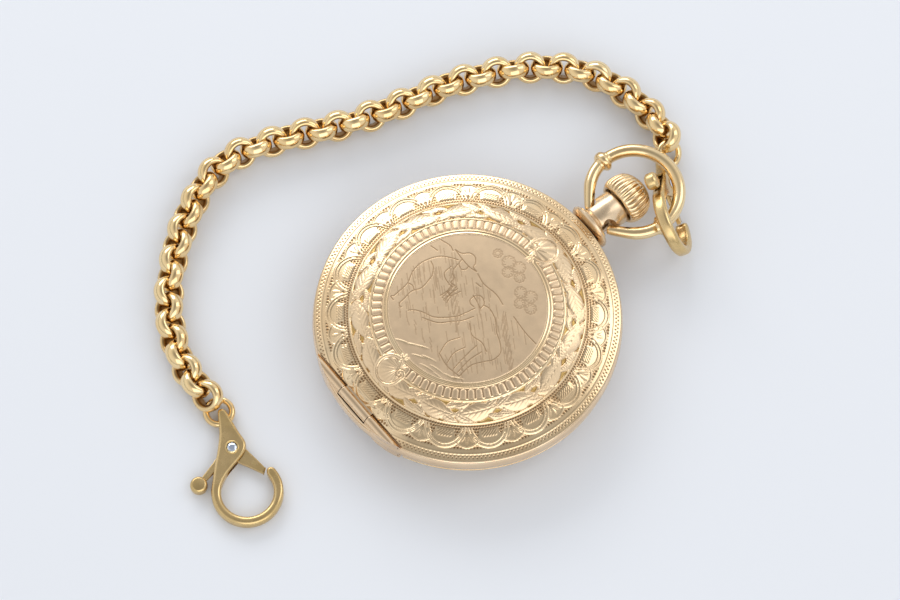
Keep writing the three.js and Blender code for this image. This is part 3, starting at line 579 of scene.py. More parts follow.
def clasp_outline():
    """The clasp from above: lug, neck, hook with its open tip, and shoulder."""
    neck = [(-0.36, 0), (0.0, -3.5), (-0.25, -6.6), (-0.7, -9.4)]
    outer = [*arc((0.35, 0.1), 0.85, 20, 160, 5), *neck, *arc(CLASP_HOOK, 6.1, 165, 405, 28)]
    tip = arc((CLASP_HOOK[0] + 3.78, CLASP_HOOK[1] + 3.78), 0.6, 60, 190, 4)
    inner = [*arc(CLASP_HOOK, 4.45, 403, 168, 28), (1.2, -11.2), (2.1, -9.8), (3.4, -8.2), (4.25, -6.9)]
    shoulder = [(4.55, -5.7), (4.3, -4.7), (3.2, -3.1)]
    line = through([*outer, *tip, *inner, *shoulder], 4, closed=True)
    line = even(np.vstack([line, line[:1]]), 0.24)
    return softened(line[:-1], 3)


def disc_slab(radius, low, high, edge, centre=(0, 0), count=40):
    """A round plate."""
    return slab(arc(centre, radius, 0, 360 * (count - 1) / count, count - 1), low, high, edge)


def wedge(radius, start, end, room):
    """Room for the lever between two directions from its pivot."""
    return slab([CLASP_PIVOT, *arc(CLASP_PIVOT, radius, start, end, 8)], -room, room, 0.01, 1)


def clasp_lever():
    """The lever: its tip that closes the hook, its arm, the hub round the rivet, and a thumb knob."""
    tip = [(0.4, 1.2), (1.5, 0.7), (3.6, -1.3), (5.55, -3.3), (5.68, -3.55), (5.45, -4.35), (5.25, -4.4),
           (3.1, -3.35), (1, -2.4), (-0.6, -1.2)]
    arm = [(-0.2, -1.2), (-2.4, -3.6), (-4.7, -6.1), (-5.3, -5.6), (-3.3, -2.7), (-1.3, 0.2)]
    lower = [(0.02, -1), (1.1, -1), (1.4, -0.72), (1.47, -0.5)]
    upper = [(r, -h) for r, h in lower[::-1]]
    knob = lower[:1] + rounded(lower + upper, 0.1, 2)[3:-3] + upper[-1:]
    half = 0.38
    bore = disc_slab(0.5, -1, 1, 0.01)
    plates = [slab(through(outline, 3, closed=True), -half, half, 0.14) for outline in (tip, arm)]
    parts = [carved(plate, bore) for plate in plates]
    hub = lathe(rounded([(0.5, -half), (1.45, -half), (1.45, half), (0.5, half)], 0.1, 4), 40)
    points, faces = joined(*parts, hub, lathe(knob, 40, centre=(-5.5, -6.5, 0)))
    return points + np.array((*CLASP_PIVOT, 0)), faces


def brilliant():
    """A round stone with a flat table, eight kite faces and a pointed back."""
    x, y = CLASP_PIVOT
    facets = 8
    half_turn = math.pi / facets
    levels = [(0.05, 0.42, 0), (0.55, 0.6, 0), (0.93, 0.82, half_turn), (0.95, 0.92, half_turn),
              (0.78, 1.06, 0), (0.52, 1.16, half_turn)]
    rows = []
    for r, z, shift in levels:
        turn = circle(facets) + shift
        rows.append(np.stack([x + r * np.cos(turn), y + r * np.sin(turn), np.full(facets, z)], -1))
    return skin(rows, capped=True)


def make_clasp(letter, body, lug, x_axis, y_axis, ring_tilt):
    """A lobster clasp: slotted body with a hook, lever with a thumb knob, rivet, set stone and end ring."""
    name = f"clasp_{letter}_"

    def put(part):
        return placed(part, lug, x_axis, y_axis)

    def piece(suffix, part, on, material, replaces=None, crease=40):
        return mesh_piece(name + suffix, *put(part), on, "clasp_gold", material, replaces, crease=crease)

    room = 0.6
    cuts = [wedge(7, 162, 250, room), wedge(6.2, -100, 5, room), wedge(3.2, 245, 265, room)]
    cuts.append(disc_slab(2.1, -room, room, 0.01, CLASP_PIVOT))
    cuts.append(disc_slab(0.98, 0.3, 1.4, 0.01, CLASP_PIVOT))
    outline = clasp_outline()
    edge = 0.5 + 0.22 * np.clip((CLASP_HOOK[1] + 1.5 - outline[:, 1]) / 3, 0, 1)
    solid = carved(slab(outline, -CLASP_T / 2, CLASP_T / 2, edge, 8), *cuts)
    hook = piece("body_fine", solid, body, "clasp_gold", name + "body", crease=35)
    lever = piece("lever_fine", clasp_lever(), name + "lever", "clasp_gold", name + "lever")
    collar = rounded([(0.93, 0.9), (1.22, 0.9), (1.18, 1.2), (0.95, 1.2)], 0.08, 3)
    setting = piece("stone_collar", lathe(collar, 48, centre=(*CLASP_PIVOT, 0)), body, "clasp_edge")
    shank = disc_slab(0.45, -1.13, 0.3, 0.08, CLASP_PIVOT)
    head = disc_slab(0.62, -1.18, -1.04, 0.06, CLASP_PIVOT)
    pin = piece("rivet", joined(shank, head), body, "clasp_edge", name + "pin")
    cut_stone = put(brilliant())
    stone = mesh_piece(name + "brilliant", *cut_stone, body, "stone", replaces=name + "stone", crease=5)
    turn = circle(72)
    tilt = math.radians(ring_tilt)
    across, along = RING_R * np.cos(turn), RING_R * np.sin(turn) + RING_R
    line = np.stack([across, along * math.cos(tilt), along * math.sin(tilt)], -1) + RING_HOLE
    end_ring = put(tube(line, RING_WIRE, 20, closed=True))
    ring_name = "end_ring_" + letter
    ring = mesh_piece(ring_name + "_fine", *end_ring, body, "chain_gold", replaces=ring_name)
    return [hook, lever, setting, pin, stone, ring]


# ---------------- lid ornament

DOME = [(0, 6.4), (7, 6.4), (13.7, 6.1), (16.5, 5.6), (19.9, 4.2), (24.5, 2.75), (25.9, 2.3)]
LINING = [(0, 5.5), (13.5, 5.5), (16.3, 5), (19.7, 3.65), (24.2, 2.4), (25.2, 1.9)]
BACK_LINING = [(0, 5.9), (13, 5.9), (16.3, 5), (19.7, 3.65), (24.2, 2.4), (25.2, 1.9)]
RIM_R = 26.0  # of the covers
CHORD = 23.4  # the covers are cut straight at y = -CHORD, along their hinges
MEDALLION_R = 13.4
GARLAND_R = 19.9  # where the border starts
CARTOUCHES = ((0, 16.9), (0, -16.9))
CARTOUCHE_SIZE = 0.88
RAISED_RINGS = ((13.55, 0.24, 0.10), (14.1, 0.2, 0.08), (16.35, 0.24, 0.11), (19.95, 0.16, 0.08),
                (24.75, 0.14, 0.05))  # radius, half width and height
BEADS = 72
RIM_DOTS = 230
SCALLOPS = 18
GARLAND_REPEATS = 16
LEAVES = ((7.0, 1.5, 0.2, 0.1, 0.14), (3.8, 0.8, -2.5, -0.95, -0.42), (3.4, 0.75, 2.3, 1.0, 0.42),
          (3.0, 0.62, -2.7, 1.1, 0.3), (3.0, 0.62, 2.8, -1.1, -0.3))
BERRIES = ((-2.9, 0.35), (-3.35, -0.15), (-2.75, -0.35), (2.9, -1.15))

ENGRAVING = {
    "stooping worker": [
        [(-9.4, 5.1), (-8.2, 5.5), (-7.3, 6.6), (-6.2, 6.8), (-5.3, 6.1), (-5.0, 5.4), (-4, 5.3)],
        [(-9.4, 5.1), (-7.4, 4.9), (-5.4, 4.9), (-4, 5.3)],
        [(-7.3, 4.8), (-7.0, 3.9), (-6.0, 3.6), (-5.5, 4.2), (-5.6, 4.8)],
        [(-7.6, 4.3), (-8.7, 3.6), (-10.2, 2.2), (-11.2, -0.4), (-11, -2.8), (-9.9, -4.9), (-9.7, -6.6),
         (-9.6, -8.2)],
        [(-7.1, 3.7), (-6.6, 2.2), (-5.5, 1.6), (-5.3, 0.7), (-4.4, 0.9)],
        [(-7.5, 2.6), (-7.3, 1.0), (-6.2, 0.4), (-4.6, 0.3)],
        [(-8.2, -1.0), (-7.7, -3.6), (-8.3, -5.4), (-8.1, -7.0), (-8, -8.2)],
        [(-9.9, -4.9), (-9.0, -4.6), (-8.2, -4.9)],
        [(-9.6, -8.2), (-9.9, -8.6), (-9.1, -8.7)], [(-8, -8.2), (-7.6, -8.6), (-7.2, -8.5)],
        [(-10.4, 0.6), (-9.3, 0.2), (-8.2, -1.0)],
    ],
    "sheaf": [
        [(-4.9, 0.9), (-4.5, -0.8), (-4.6, -2.2)], [(-3.0, 0.9), (-3.3, -0.8), (-2.9, -2.2)],
        [(-4.5, -0.7), (-3.3, -0.7)], [(-4.5, -0.9), (-3.3, -0.9)],
        [(-4.5, 0.8), (-4.1, -2.2)], [(-3.7, 0.9), (-3.7, -2.2)], [(-4.1, 1.0), (-3.4, -2.2)],
    ],
    "kneeling worker": [
        [(-0.9, 2.0), (-0.4, 2.9), (0.5, 3.0), (1.3, 2.5), (1.5, 1.6)],
        [(-0.9, 2.0), (-0.8, 1.2), (-0.2, 0.8), (0.6, 0.9)],
        [(-1.1, 2.1), (0.1, 1.9), (1.6, 1.5)],
        [(1.5, 2.4), (2.6, 2.7), (4.6, 2.2), (6.5, 0.9), (8.2, 0.2), (9.7, -0.9), (9.9, -2.6), (9.2, -4)],
        [(0.9, 0.9), (0.5, -0.9), (-0.1, -2.7), (-2.1, -5.3), (-3.9, -6.2), (-5.3, -7.1), (-6, -8)],
        [(1.9, -0.3), (1.2, -2.2), (0.2, -3.7), (-1.1, -5.6), (-3.4, -7.0)],
        [(2.4, -1.6), (4.3, -2.6), (6.3, -2.2), (8.1, -2.6)],
        [(3.3, -4.4), (2.6, -6.6), (3.3, -8.9)], [(5.2, -4.9), (4.8, -7.0), (5.4, -8.9)],
        [(9.2, -4), (8.3, -6.2), (8.5, -8.9)], [(3.3, -8.9), (5.8, -9.3), (8.5, -8.9)],
        [(6.2, -3.1), (6.4, -5.6), (6.9, -8.9)], [(7.6, -3.2), (7.4, -5.8), (7.8, -8.7)],
    ],
    "horizon": [
        [(-12.4, 4.4), (-10.6, 4.9), (-9.5, 4.7)], [(-3.6, 5.2), (-1.5, 4.8), (1.2, 5.2), (3.4, 4.9)],
        [(-12.6, 2.4), (-11.2, 2.7)], [(-2.5, 3.9), (-1.4, 4.1)], [(6.2, 4.9), (9.6, 4.6), (12.2, 4.7)],
    ],
}
STROKE_HALF = 0.115  # half the width of an engraved line
SPEARS = [(0.4, -10.5, 34), (1.6, -11.8, 30), (2.9, -10.8, 24), (3.9, -12.1, 18), (5.2, -11.0, 14),
          (6.4, -11.6, 8), (7.6, -10.2, 20), (-1.0, -11.5, 38), (-2.4, -12.3, 30), (8.4, -9.6, 40)]
TREES = [(-1.9, 10.6, 1.6), (0.0, 11.3, 1.5), (1.4, 10.2, 1.2), (-0.6, 9.3, 1.3), (3.6, 8.6, 1.4),
         (5.3, 9.4, 1.5), (6.9, 8.0, 1.3), (5.0, 7.2, 1.2), (-4.3, 10.2, 1.0)]


def ellipse(x, y, cx, cy, along, across, turn):
    """One inside falling to zero at the rim of a turned ellipse."""
    c, s = math.cos(turn), math.sin(turn)
    u = ((x - cx) * c + (y - cy) * s) / along
    v = (-(x - cx) * s + (y - cy) * c) / across
    return np.clip(1 - u * u - v * v, 0, 1)


def ridge(distance, width):
    """A smooth raised line across distance zero."""
    return np.clip(1 - (distance / width) ** 2, 0, 1)


def band(value, low, high, soft=0.12):
    """One between low and high, falling to zero at both."""
    return np.clip((value - low) / soft, 0, 1) * np.clip((high - value) / soft, 0, 1)


def pits(r, turn, pitch, row, count):
    """Punch marks, count to each ring, in rings row apart that are set half a step from each other."""
    ring = np.floor(r / row)
    across = (r / row - ring - 0.5) * row
    step = turn * count / TAU + 0.5 * (ring % 2)
    along = (step - np.floor(step) - 0.5) * TAU * np.maximum(r, 1) / count
    return np.clip(1 - (along ** 2 + across ** 2) / (pitch * 0.42) ** 2, 0, 1)


def hatching():
    """Short parallel cuts: ground under the figures, hay behind them, and foliage."""
    strokes = []
    for i in range(34):
        x = -11.5 + 0.68 * i
        y = -8.8 - 0.5 * math.sin(i * 2.1)
        if x * x + y * y < 160:
            strokes.append([(x, y), (x + 0.9, y - 0.45 - 0.2 * math.sin(i))])
    for i in range(26):
        x = 4.4 + 0.33 * i
        y = 4.2 - 0.2 * i + 0.4 * math.sin(i * 1.7)
        length = 2.6 + 0.8 * math.sin(i * 2.3)
        strokes.append([(x, y), (x + 0.42 * length, y - 0.5 * length)])
        strokes.append([(x - 11.5, y - 1.9), (x - 11.5 + 0.3 * length, y - 1.9 - 0.4 * length)])
    draw = np.random.default_rng(11)
    across, up, lengths = (draw.uniform(low, high, 150) for low, high in ((-12, 11.5), (-7.5, 5), (1.2, 3)))
    for x, y, length in zip(across, up, lengths):
        end = (x + 0.85 * length, y - 0.52 * length)
        if max(math.hypot(x, y), math.hypot(*end)) < 12.8:
            strokes.append([(x, y), end])
    for x, y, size in TREES:
        for i in range(9):
            a = i * TAU / 9 + x
            curl = []
            for t in (0, 0.4, 0.8, 1.2):
                px = x + size * 0.6 * math.cos(a + t) + 0.28 * math.cos(a + 4 * t)
                py = y + size * 0.6 * math.sin(a + t) + 0.28 * math.sin(a + 4 * t)
                curl.append((px, py))
            strokes.append(curl)
    return strokes


def medallion(x, y):
    """Height and masks of the engraved field scene."""
    outlines = [(stroke, 6, 1.0) for group in ENGRAVING.values() for stroke in group]
    shading = [(stroke, 4, 0.5) for stroke in hatching()]
    cut_points = []
    for stroke, steps, full_depth in outlines + shading:
        line = even(through(stroke, steps), 0.05)
        cut_points.extend((px, py, full_depth) for px, py in line)
    tree = KDTree(len(cut_points))
    for i, (px, py, _) in enumerate(cut_points):
        tree.insert((px, py, 0), i)
    tree.balance()
    inside = np.hypot(x, y) < MEDALLION_R
    depth = np.zeros(len(x))
    for k in np.nonzero(inside)[0]:
        _, i, distance = tree.find((x[k], y[k], 0))
        if distance < STROKE_HALF:
            depth[k] = (1 - (distance / STROKE_HALF) ** 2) * cut_points[i][2]
    bright = np.zeros(len(x))
    for px, py, lean in SPEARS:
        bright = np.maximum(bright, ellipse(x, y, px, py, 1.5, 0.24, math.radians(lean)))
    return -0.035 * depth + 0.07 * np.sqrt(bright) * inside, depth * inside, bright * inside


def leaf_ring(r, turn):
    """A garland of pointed leaves and berries. s runs along the ring and q across it.

    Each row of LEAVES is a leaf's length, half width, place along and across the ring, and slant.
    """
    height = np.zeros(len(r))
    middle = 18.2
    q = r - middle
    for k in range(GARLAND_REPEATS):
        centre = (k + 0.5) * TAU / GARLAND_REPEATS
        s = ((turn - centre + math.pi) % TAU - math.pi) * middle
        flip = 1 if k % 2 else -1
        for length, width, at, off, slant in LEAVES:
            c, n = math.cos(slant), math.sin(slant)
            u = ((s - at) * c + (q - off * flip) * n * flip) / length + 0.5
            v = -(s - at) * n * flip + (q - off * flip) * c
            shape = width * np.sin(math.pi * np.clip(u, 0, 1) ** 0.8)
            inside = np.clip(1 - (v / np.maximum(shape, 1e-3)) ** 2, 0, 1) * (u > 0) * (u < 1)
            vein = 0.2 * ridge(v, 0.09) + 0.08 * (np.cos(u * 44 + np.abs(v) * 9) > 0.55)
            height = np.maximum(height, np.sqrt(inside) * (1 - vein))
        for at, off in BERRIES:
            berry = np.clip(1 - ((s - at) ** 2 + (q - off * flip) ** 2) / 0.42 ** 2, 0, 1)
            height = np.maximum(height, 0.9 * np.sqrt(berry))
    return height


def scallop_ring(r, turn):
    """Height and punch marks of the border: open arches with block centres, and fans between them."""
    height = np.zeros(len(r))
    step = TAU / SCALLOPS
    u = (turn / step) % 1 - 0.5
    t = u * step * r
    q = r - 20.45
    reach = np.hypot(t, q)
    arch = np.maximum(ridge(reach - 3.4, 0.22), 0.8 * ridge(reach - 2.85, 0.15)) * (q > 0.1)
    block = band(np.abs(t), -1, 1.35) * band(q, 0.5, 1.75)
    hatch = 0.35 * (np.cos((t + q) * 13) > 0.3)
    height = np.maximum(height, np.maximum(arch, block * (0.6 - hatch)))
    side = np.where(u > 0, u - 0.5, u + 0.5) * step * r
    fan_q = r - 21.3
    fan = np.hypot(side, fan_q)
    collar = ridge(fan - 2.45, 0.15) * (fan_q > -0.4) * (reach > 3.2)
    petals = np.zeros(len(r))
    for angle in (-64, -34, 0, 34, 64):
        a = math.radians(angle)
        petal = ellipse(side, fan_q, 1.05 * math.sin(a), 1.05 * math.cos(a), 0.27, 0.92, -a)
        petals = np.maximum(petals, petal)
    height = np.maximum(height, np.maximum(collar, 0.6 * np.sqrt(petals)))
    marks = np.clip(1.8 * pits(r, turn, 0.62, 0.5, 272), 0, 1)
    near_garland = (r < 20.85) | ((fan < 2.1) & (r < 22.3))
    near_rim = (reach > 3.7) & (fan > 2.35) & (r > 22.9) & (r < 24.0)
    open_ground = (height < 0.06) & (near_garland | near_rim)
    return height, marks * open_ground


def cartouche(x, y, cx, cy):
    """A scrolled shell that breaks the two inner rings, with its curl towards the middle of the lid."""
    inward = -1 if cy > 0 else 1
    u, v = (x - cx) * inward / CARTOUCHE_SIZE, (y - cy) * inward / CARTOUCHE_SIZE
    height, near = np.zeros(len(x)), np.zeros(len(x))
    close = np.nonzero(np.hypot(u, v) < 5)[0]
    if len(close) == 0:
        return height, near
    u, v = u[close], v[close]
    reach = np.hypot(u, v)
    volute = []
    for k in range(6):
        wide, a = 1.15 - 0.2 * k, 0.9 * k - 0.7
        volute.append((1.85 + wide * math.cos(a), 0.75 + wide * math.sin(a)))
    scroll = even(through([*arc((0, 0), 2.85, 96, 318, 14), (2.65, -1.0), *volute], 6), 0.08)
    thread = np.full(len(close), 9.0)
    for px, py in scroll:
        thread = np.minimum(thread, np.hypot(u - px, v - py))
    rope = np.sqrt(ridge(thread, 0.34))
    shell_turn = np.arctan2(v - 1.4, u - 1.2)
    flute = (0.42 + 0.25 * np.cos(shell_turn * 13)) * np.clip((thread - 0.4) / 0.3, 0, 1)
    bud = np.zeros(len(close))
    for lean in (-50, -12, 26):
        a = math.radians(lean)
        petal = ellipse(u, v, 0.2 + 0.75 * math.sin(a), 2.95 + 0.75 * math.cos(a), 0.24, 0.72, -a)
        bud = np.maximum(bud, petal)
    inside = np.clip((3.15 - reach) / 0.15, 0, 1)
    body = np.maximum(inside, np.clip((0.36 - thread) / 0.1, 0, 1))
    height[close] = np.maximum(np.maximum(rope, flute * inside), np.sqrt(bud))
    near[close] = np.maximum(body, bud > 0)
    return height, near


def lid_relief(x, y):
    """Height of the ornament over the plain dome, in mm, and the masks that colour it."""
    r = np.hypot(x, y)
    turn = np.arctan2(y, x)
    field, cut_lines, bright = medallion(x, y)
    height = np.where(r < MEDALLION_R, field, 0)
    satin = np.clip((MEDALLION_R + 0.1 - r) / 0.1, 0, 1) * (1 - 0.8 * bright)
    # this mask paints shade: dark in the engraved lines, punch pits and rim dots, in the gaps between
    # beads, and round the feet of the raised leaves, border ornament and cartouche scroll
    cut_shade_mask = 0.8 * cut_lines
    for at, width, rise in RAISED_RINGS:
        height = np.maximum(height, rise * ridge(r - at, width) + np.minimum(height, 0))
    bead_t = ((turn * BEADS / TAU) % 1 - 0.5) * TAU * 15.1 / BEADS
    bead_q = np.maximum(0, 14.9 - r)
    bead = np.clip(1 - (bead_t / 0.5) ** 2 - (bead_q / 0.5) ** 2, 0, 1) * (r > 14.35) * (r < 16.05)
    in_beads = band(r, 14.3, 16.1, 0.05)
    height = np.where(in_beads > 0, -0.05 * in_beads + 0.13 * np.sqrt(bead), height)
    satin = np.maximum(satin, 0.8 * in_beads)
    cut_shade_mask = np.maximum(cut_shade_mask, 0.5 * in_beads * (bead < 0.03))
    leaves = leaf_ring(r, turn)
    in_leaves = band(r, 16.6, 19.82, 0.15)
    ground_pits = pits(r, turn, 0.3, 0.28, 420) * (leaves < 0.1)
    height = np.where(in_leaves > 0, in_leaves * (-0.14 + 0.32 * leaves - 0.03 * ground_pits), height)
    ground = in_leaves * (leaves < 0.12)
    cut_shade_mask = np.maximum(cut_shade_mask, 0.5 * in_leaves * ground_pits)
    satin = np.maximum(satin, 0.5 * in_leaves * (leaves > 0.12))
    cut_shade_mask = np.maximum(cut_shade_mask, 0.5 * in_leaves * np.clip(leaves / 0.1, 0, 1) * (leaves < 0.4))
    border, marks = scallop_ring(r, turn)
    in_border = band(r, 20.1, 24.65, 0.1)
    height = np.where(in_border > 0, in_border * (0.11 * border - 0.07 * marks), height)
    outline = np.clip(border / 0.1, 0, 1) * (border < 0.35)
    cut_shade_mask = np.maximum(cut_shade_mask, in_border * np.maximum(0.95 * marks, 0.45 * outline))
    for at, shift in ((25.08, 0), (25.42, 0.5)):
        along = ((turn * RIM_DOTS / TAU + shift) % 1 - 0.5) * TAU * at / RIM_DOTS
        dots = np.clip(1.8 - 1.8 * (along ** 2 + (r - at) ** 2) / 0.15 ** 2, 0, 1)
        height = height - 0.06 * dots
        cut_shade_mask = np.maximum(cut_shade_mask, 0.9 * dots)
    for cx, cy in CARTOUCHES:
        shell, near = cartouche(x, y, cx, cy)
        height = np.where(near > 0, height * (1 - near) + 0.2 * shell * near, height)
        ground = ground * (1 - near)
        cut_shade_mask = np.where(near > 0, 0.5 * near * (shell < 0.08), cut_shade_mask)
        satin = np.maximum(satin * (1 - near), 0.5 * near)
    return height, {"satin": satin, "ground": ground, "cut": np.clip(cut_shade_mask, 0, 1)}


def back_relief(x, y):
    """Engine turning for the rear cover: waved rings round a plain shield."""
    r = np.hypot(x, y)
    turn = np.arctan2(y, x)
    wave = np.cos(r * 7.5 + 2.2 * np.cos(turn * 36)) * band(r, 14.6, 23.6, 0.3)
    rings = ridge(r - 14.3, 0.2) + ridge(r - 23.9, 0.2)
    height = 0.03 * wave + 0.05 * rings
    satin = 0.5 * band(r, 14.6, 23.6, 0.3)
    # the cut mask paints shade into the troughs of the waves
    return height, {"satin": satin, "ground": np.zeros(len(x)), "cut": 0.25 * np.clip(-wave, 0, 1)}


def curve_through(points):
    """A height function through (radius, height) points without overshoot."""
    xs, ys = np.array(points, dtype=float).T
    rise = np.diff(ys) / np.diff(xs)
    slope = np.zeros(len(xs))
    product = rise[:-1] * rise[1:]
    steady = product > 0
    slope[1:-1][steady] = 2 * product[steady] / (rise[:-1] + rise[1:])[steady]
    slope[-1] = rise[-1]

    def height(x):
        i = np.clip(np.searchsorted(xs, x) - 1, 0, len(xs) - 2)
        span = xs[i + 1] - xs[i]
        t = np.clip((x - xs[i]) / span, 0, 1)
        return (ys[i] * (1 + 2 * t) * (1 - t) ** 2 + ys[i + 1] * t * t * (3 - 2 * t)
                + slope[i] * span * t * (1 - t) ** 2 - slope[i + 1] * span * t * t * (1 - t))
    return height


def rim_points(radius, turn, chord=CHORD):
    """Points of a ring. Rings near the rim draw in to the straight cut along the hinge."""
    edge = np.where(np.sin(turn) < 0, np.minimum(RIM_R, chord / np.maximum(-np.sin(turn), 1e-6)), RIM_R)
    start = 22.6
    share = max(0, (radius - start) / (RIM_R - start))
    r = np.where(radius > start, start + share * (edge - start), radius)
    return r * np.cos(turn), r * np.sin(turn)


def ring_at(radius, z, turn, chord=CHORD):
    """The ring's points at height z."""
    x, y = rim_points(radius, turn, chord)
    return np.stack([x, y, np.full(len(turn), z)], -1)


def disc_grid(radius, cells):
    """A square grid bent to a disc, with evenly spaced points on its rim, and its faces."""
    a = np.linspace(-1, 1, cells + 1)
    u, v = np.meshgrid(a, a)
    wide = np.abs(u) >= np.abs(v)
    r = np.where(wide, u, v)
    with np.errstate(divide="ignore", invalid="ignore"):
        part = np.where(wide, v / np.where(u == 0, 1, u), u / np.where(v == 0, 1, v)) * math.pi / 4
    angle = np.where(wide, part, math.pi / 2 - part)
    x, y = radius * r * np.cos(angle), radius * r * np.sin(angle)
    index = np.arange((cells + 1) ** 2).reshape(cells + 1, cells + 1)
    return x.ravel(), y.ravel(), quads_between(index), index


def ornament_disc(name, body, sign, radius, cells, relief, lowest):
    """The middle of a cover, which stands for the body's CAD node: relief above and a plain face below."""
    x, y, quads, index = disc_grid(radius, cells)
    height, masks = relief(x, y)
    dome = curve_through(DOME)(np.hypot(x, y))
    top = np.stack([x, y, MID_Z + sign * (dome + height)], -1)
    rim = np.concatenate([index[0, :-1], index[:-1, -1], index[-1, :0:-1], index[:0:-1, 0]])
    wall = np.stack([x[rim], y[rim], np.full(len(rim), MID_Z + sign * lowest)], -1)
    start = len(x)
    ring = np.arange(len(rim))
    after = np.roll(ring, -1)
    skirt = np.stack([rim, start + ring, start + after, rim[after]], -1)
    faces = np.vstack([quads, skirt]).tolist() + [(start + ring)[::-1].tolist()]
    if sign < 0:
        faces = [face[::-1] for face in faces]
    masks = {key: np.concatenate([values, np.zeros(len(rim))]) for key, values in masks.items()}
    points = np.vstack([top, wall])
    mesh_piece(name, points, faces, body, "pink_gold", "lid_gold", body, masks, 180)


def ornament_ring(name, body, sign, radii, columns, relief, lower):
    """One ring of a cover: fine relief above, walls, and the rows of lower as its underside."""
    turn = circle(columns)
    x, y = np.hstack([rim_points(radius, turn) for radius in radii])
    height, masks = relief(x, y)
    tops = np.repeat(curve_through(DOME)(np.array(radii)), columns) + height
    above = np.stack([x, y, MID_Z + sign * tops], -1).reshape(len(radii), columns, 3)
    under = [ring_at(radius, MID_Z + sign * h, turn) for radius, h in lower]
    points, quads = skin([*above, *under], closed=True)
    if sign > 0:
        quads = quads[:, ::-1]
    plain = np.zeros(len(under) * columns)
    masks = {key: np.concatenate([values, plain]) for key, values in masks.items()}
    mesh_piece(name, points, quads, body, "pink_gold", "lid_gold", None, masks, 60)


def knuckle(low, high, y, z, radius=0.95):
    """A hinge barrel along X with rounded ends."""
    profile = rounded([(0.36, low), (radius, low), (radius, high), (0.36, high)], 0.06, 2)
    body = [(radius, h) for h in np.linspace(low + 0.2, high - 0.2, 12)]
    profile = profile[:6] + body + profile[6:]
    points, faces = lathe(profile, 40)
    return np.stack([points[:, 2], points[:, 0] + y, points[:, 1] + z], -1), faces


def flush(part, radius=26.2):
    """The part drawn in so that nothing stands out past the case's round outline."""
    points, faces = part
    reach = np.hypot(points[:, 0], points[:, 1])
    points = points.copy()
    points[:, :2] *= np.minimum(1, radius / np.maximum(reach, 1e-6))[:, None]
    return points, faces


def box(low, high):
    """A block between two opposite corners."""
    (x0, y0, z0), (x1, y1, z1) = low, high
    points = [(x, y, z) for x in (x0, x1) for y in (y0, y1) for z in (z0, z1)]
    sides = [[0, 1, 3, 2], [4, 6, 7, 5], [0, 4, 5, 1], [2, 3, 7, 6], [0, 2, 6, 4], [1, 5, 7, 3]]
    return np.array(points), sides


HINGE_Y = -24.5
HINGE_RISE = 1.75  # of the covers' hinges, above and below the middle of the case


def make_cover(prefix, body, sign, relief):
    """A domed cover in three nested rings of ornament, its lining and its hinge barrel."""
    fine = sign > 0
    cells, garland_rows, border_rows, columns = (310, 60, 56, 1440) if fine else (140, 46, 40, 720)
    inner = curve_through(LINING if fine else BACK_LINING)
    ornament_disc(prefix + "_middle", body, sign, MEDALLION_R, cells, relief, 6.02)
    radii = np.linspace(MEDALLION_R, GARLAND_R, garland_rows)
    lower = [(r, float(inner(np.array(r))) + 0.12) for r in (GARLAND_R, 16.4)]
    lower.append((MEDALLION_R, 5.98 if fine else 6.0))
    ornament_ring(prefix + "_garland", body, sign, radii, columns, relief, lower)
    radii = [*np.linspace(GARLAND_R, 25.75, border_rows), 25.85, 25.93, 25.98]
    lower = [(RIM_R, 2.15), (RIM_R, 1.95), (25.95, 1.9), (25.25, 1.9), (24.2, 2.45), (22, 3.1)]
    lower.append((GARLAND_R, 3.7))
    ornament_ring(prefix + "_border", body, sign, radii, columns, relief, lower)

    radii = [0.05, 4, 9, 13, 14.5, 16, 17.5, 19, 20.5, 22, 23.5, 24.6, 25.2]
    levels = [(r, float(inner(np.array(r)))) for r in radii]
    levels += [(r, h + 0.16) for r, h in levels[::-1]]
    rows = [ring_at(r, MID_Z + sign * h, circle(180), CHORD - 0.5) for r, h in levels]
    points, quads = skin(rows, closed=True)
    if not fine:
        quads = quads[:, ::-1]
    mesh_piece(prefix + "_lining", points, quads, body, "pink_gold", crease=60)

    web_z = MID_Z + sign * 2.1
    web = box((-3.3, -24.3, web_z - 0.2), (3.3, -22.9, web_z + 0.2))
    barrel = flush(knuckle(-3.4, 3.4, HINGE_Y, MID_Z + sign * HINGE_RISE))
    mesh_piece(prefix + "_hinge_barrel", *joined(barrel, web), body, "pink_gold")


# ---------------- case, pendant, crown and bow

STEM_Y = 29.05  # where the bow's ends go into the pendant
DUST_HINGE_Y = -22
DUST_HINGE_Z = 4.5


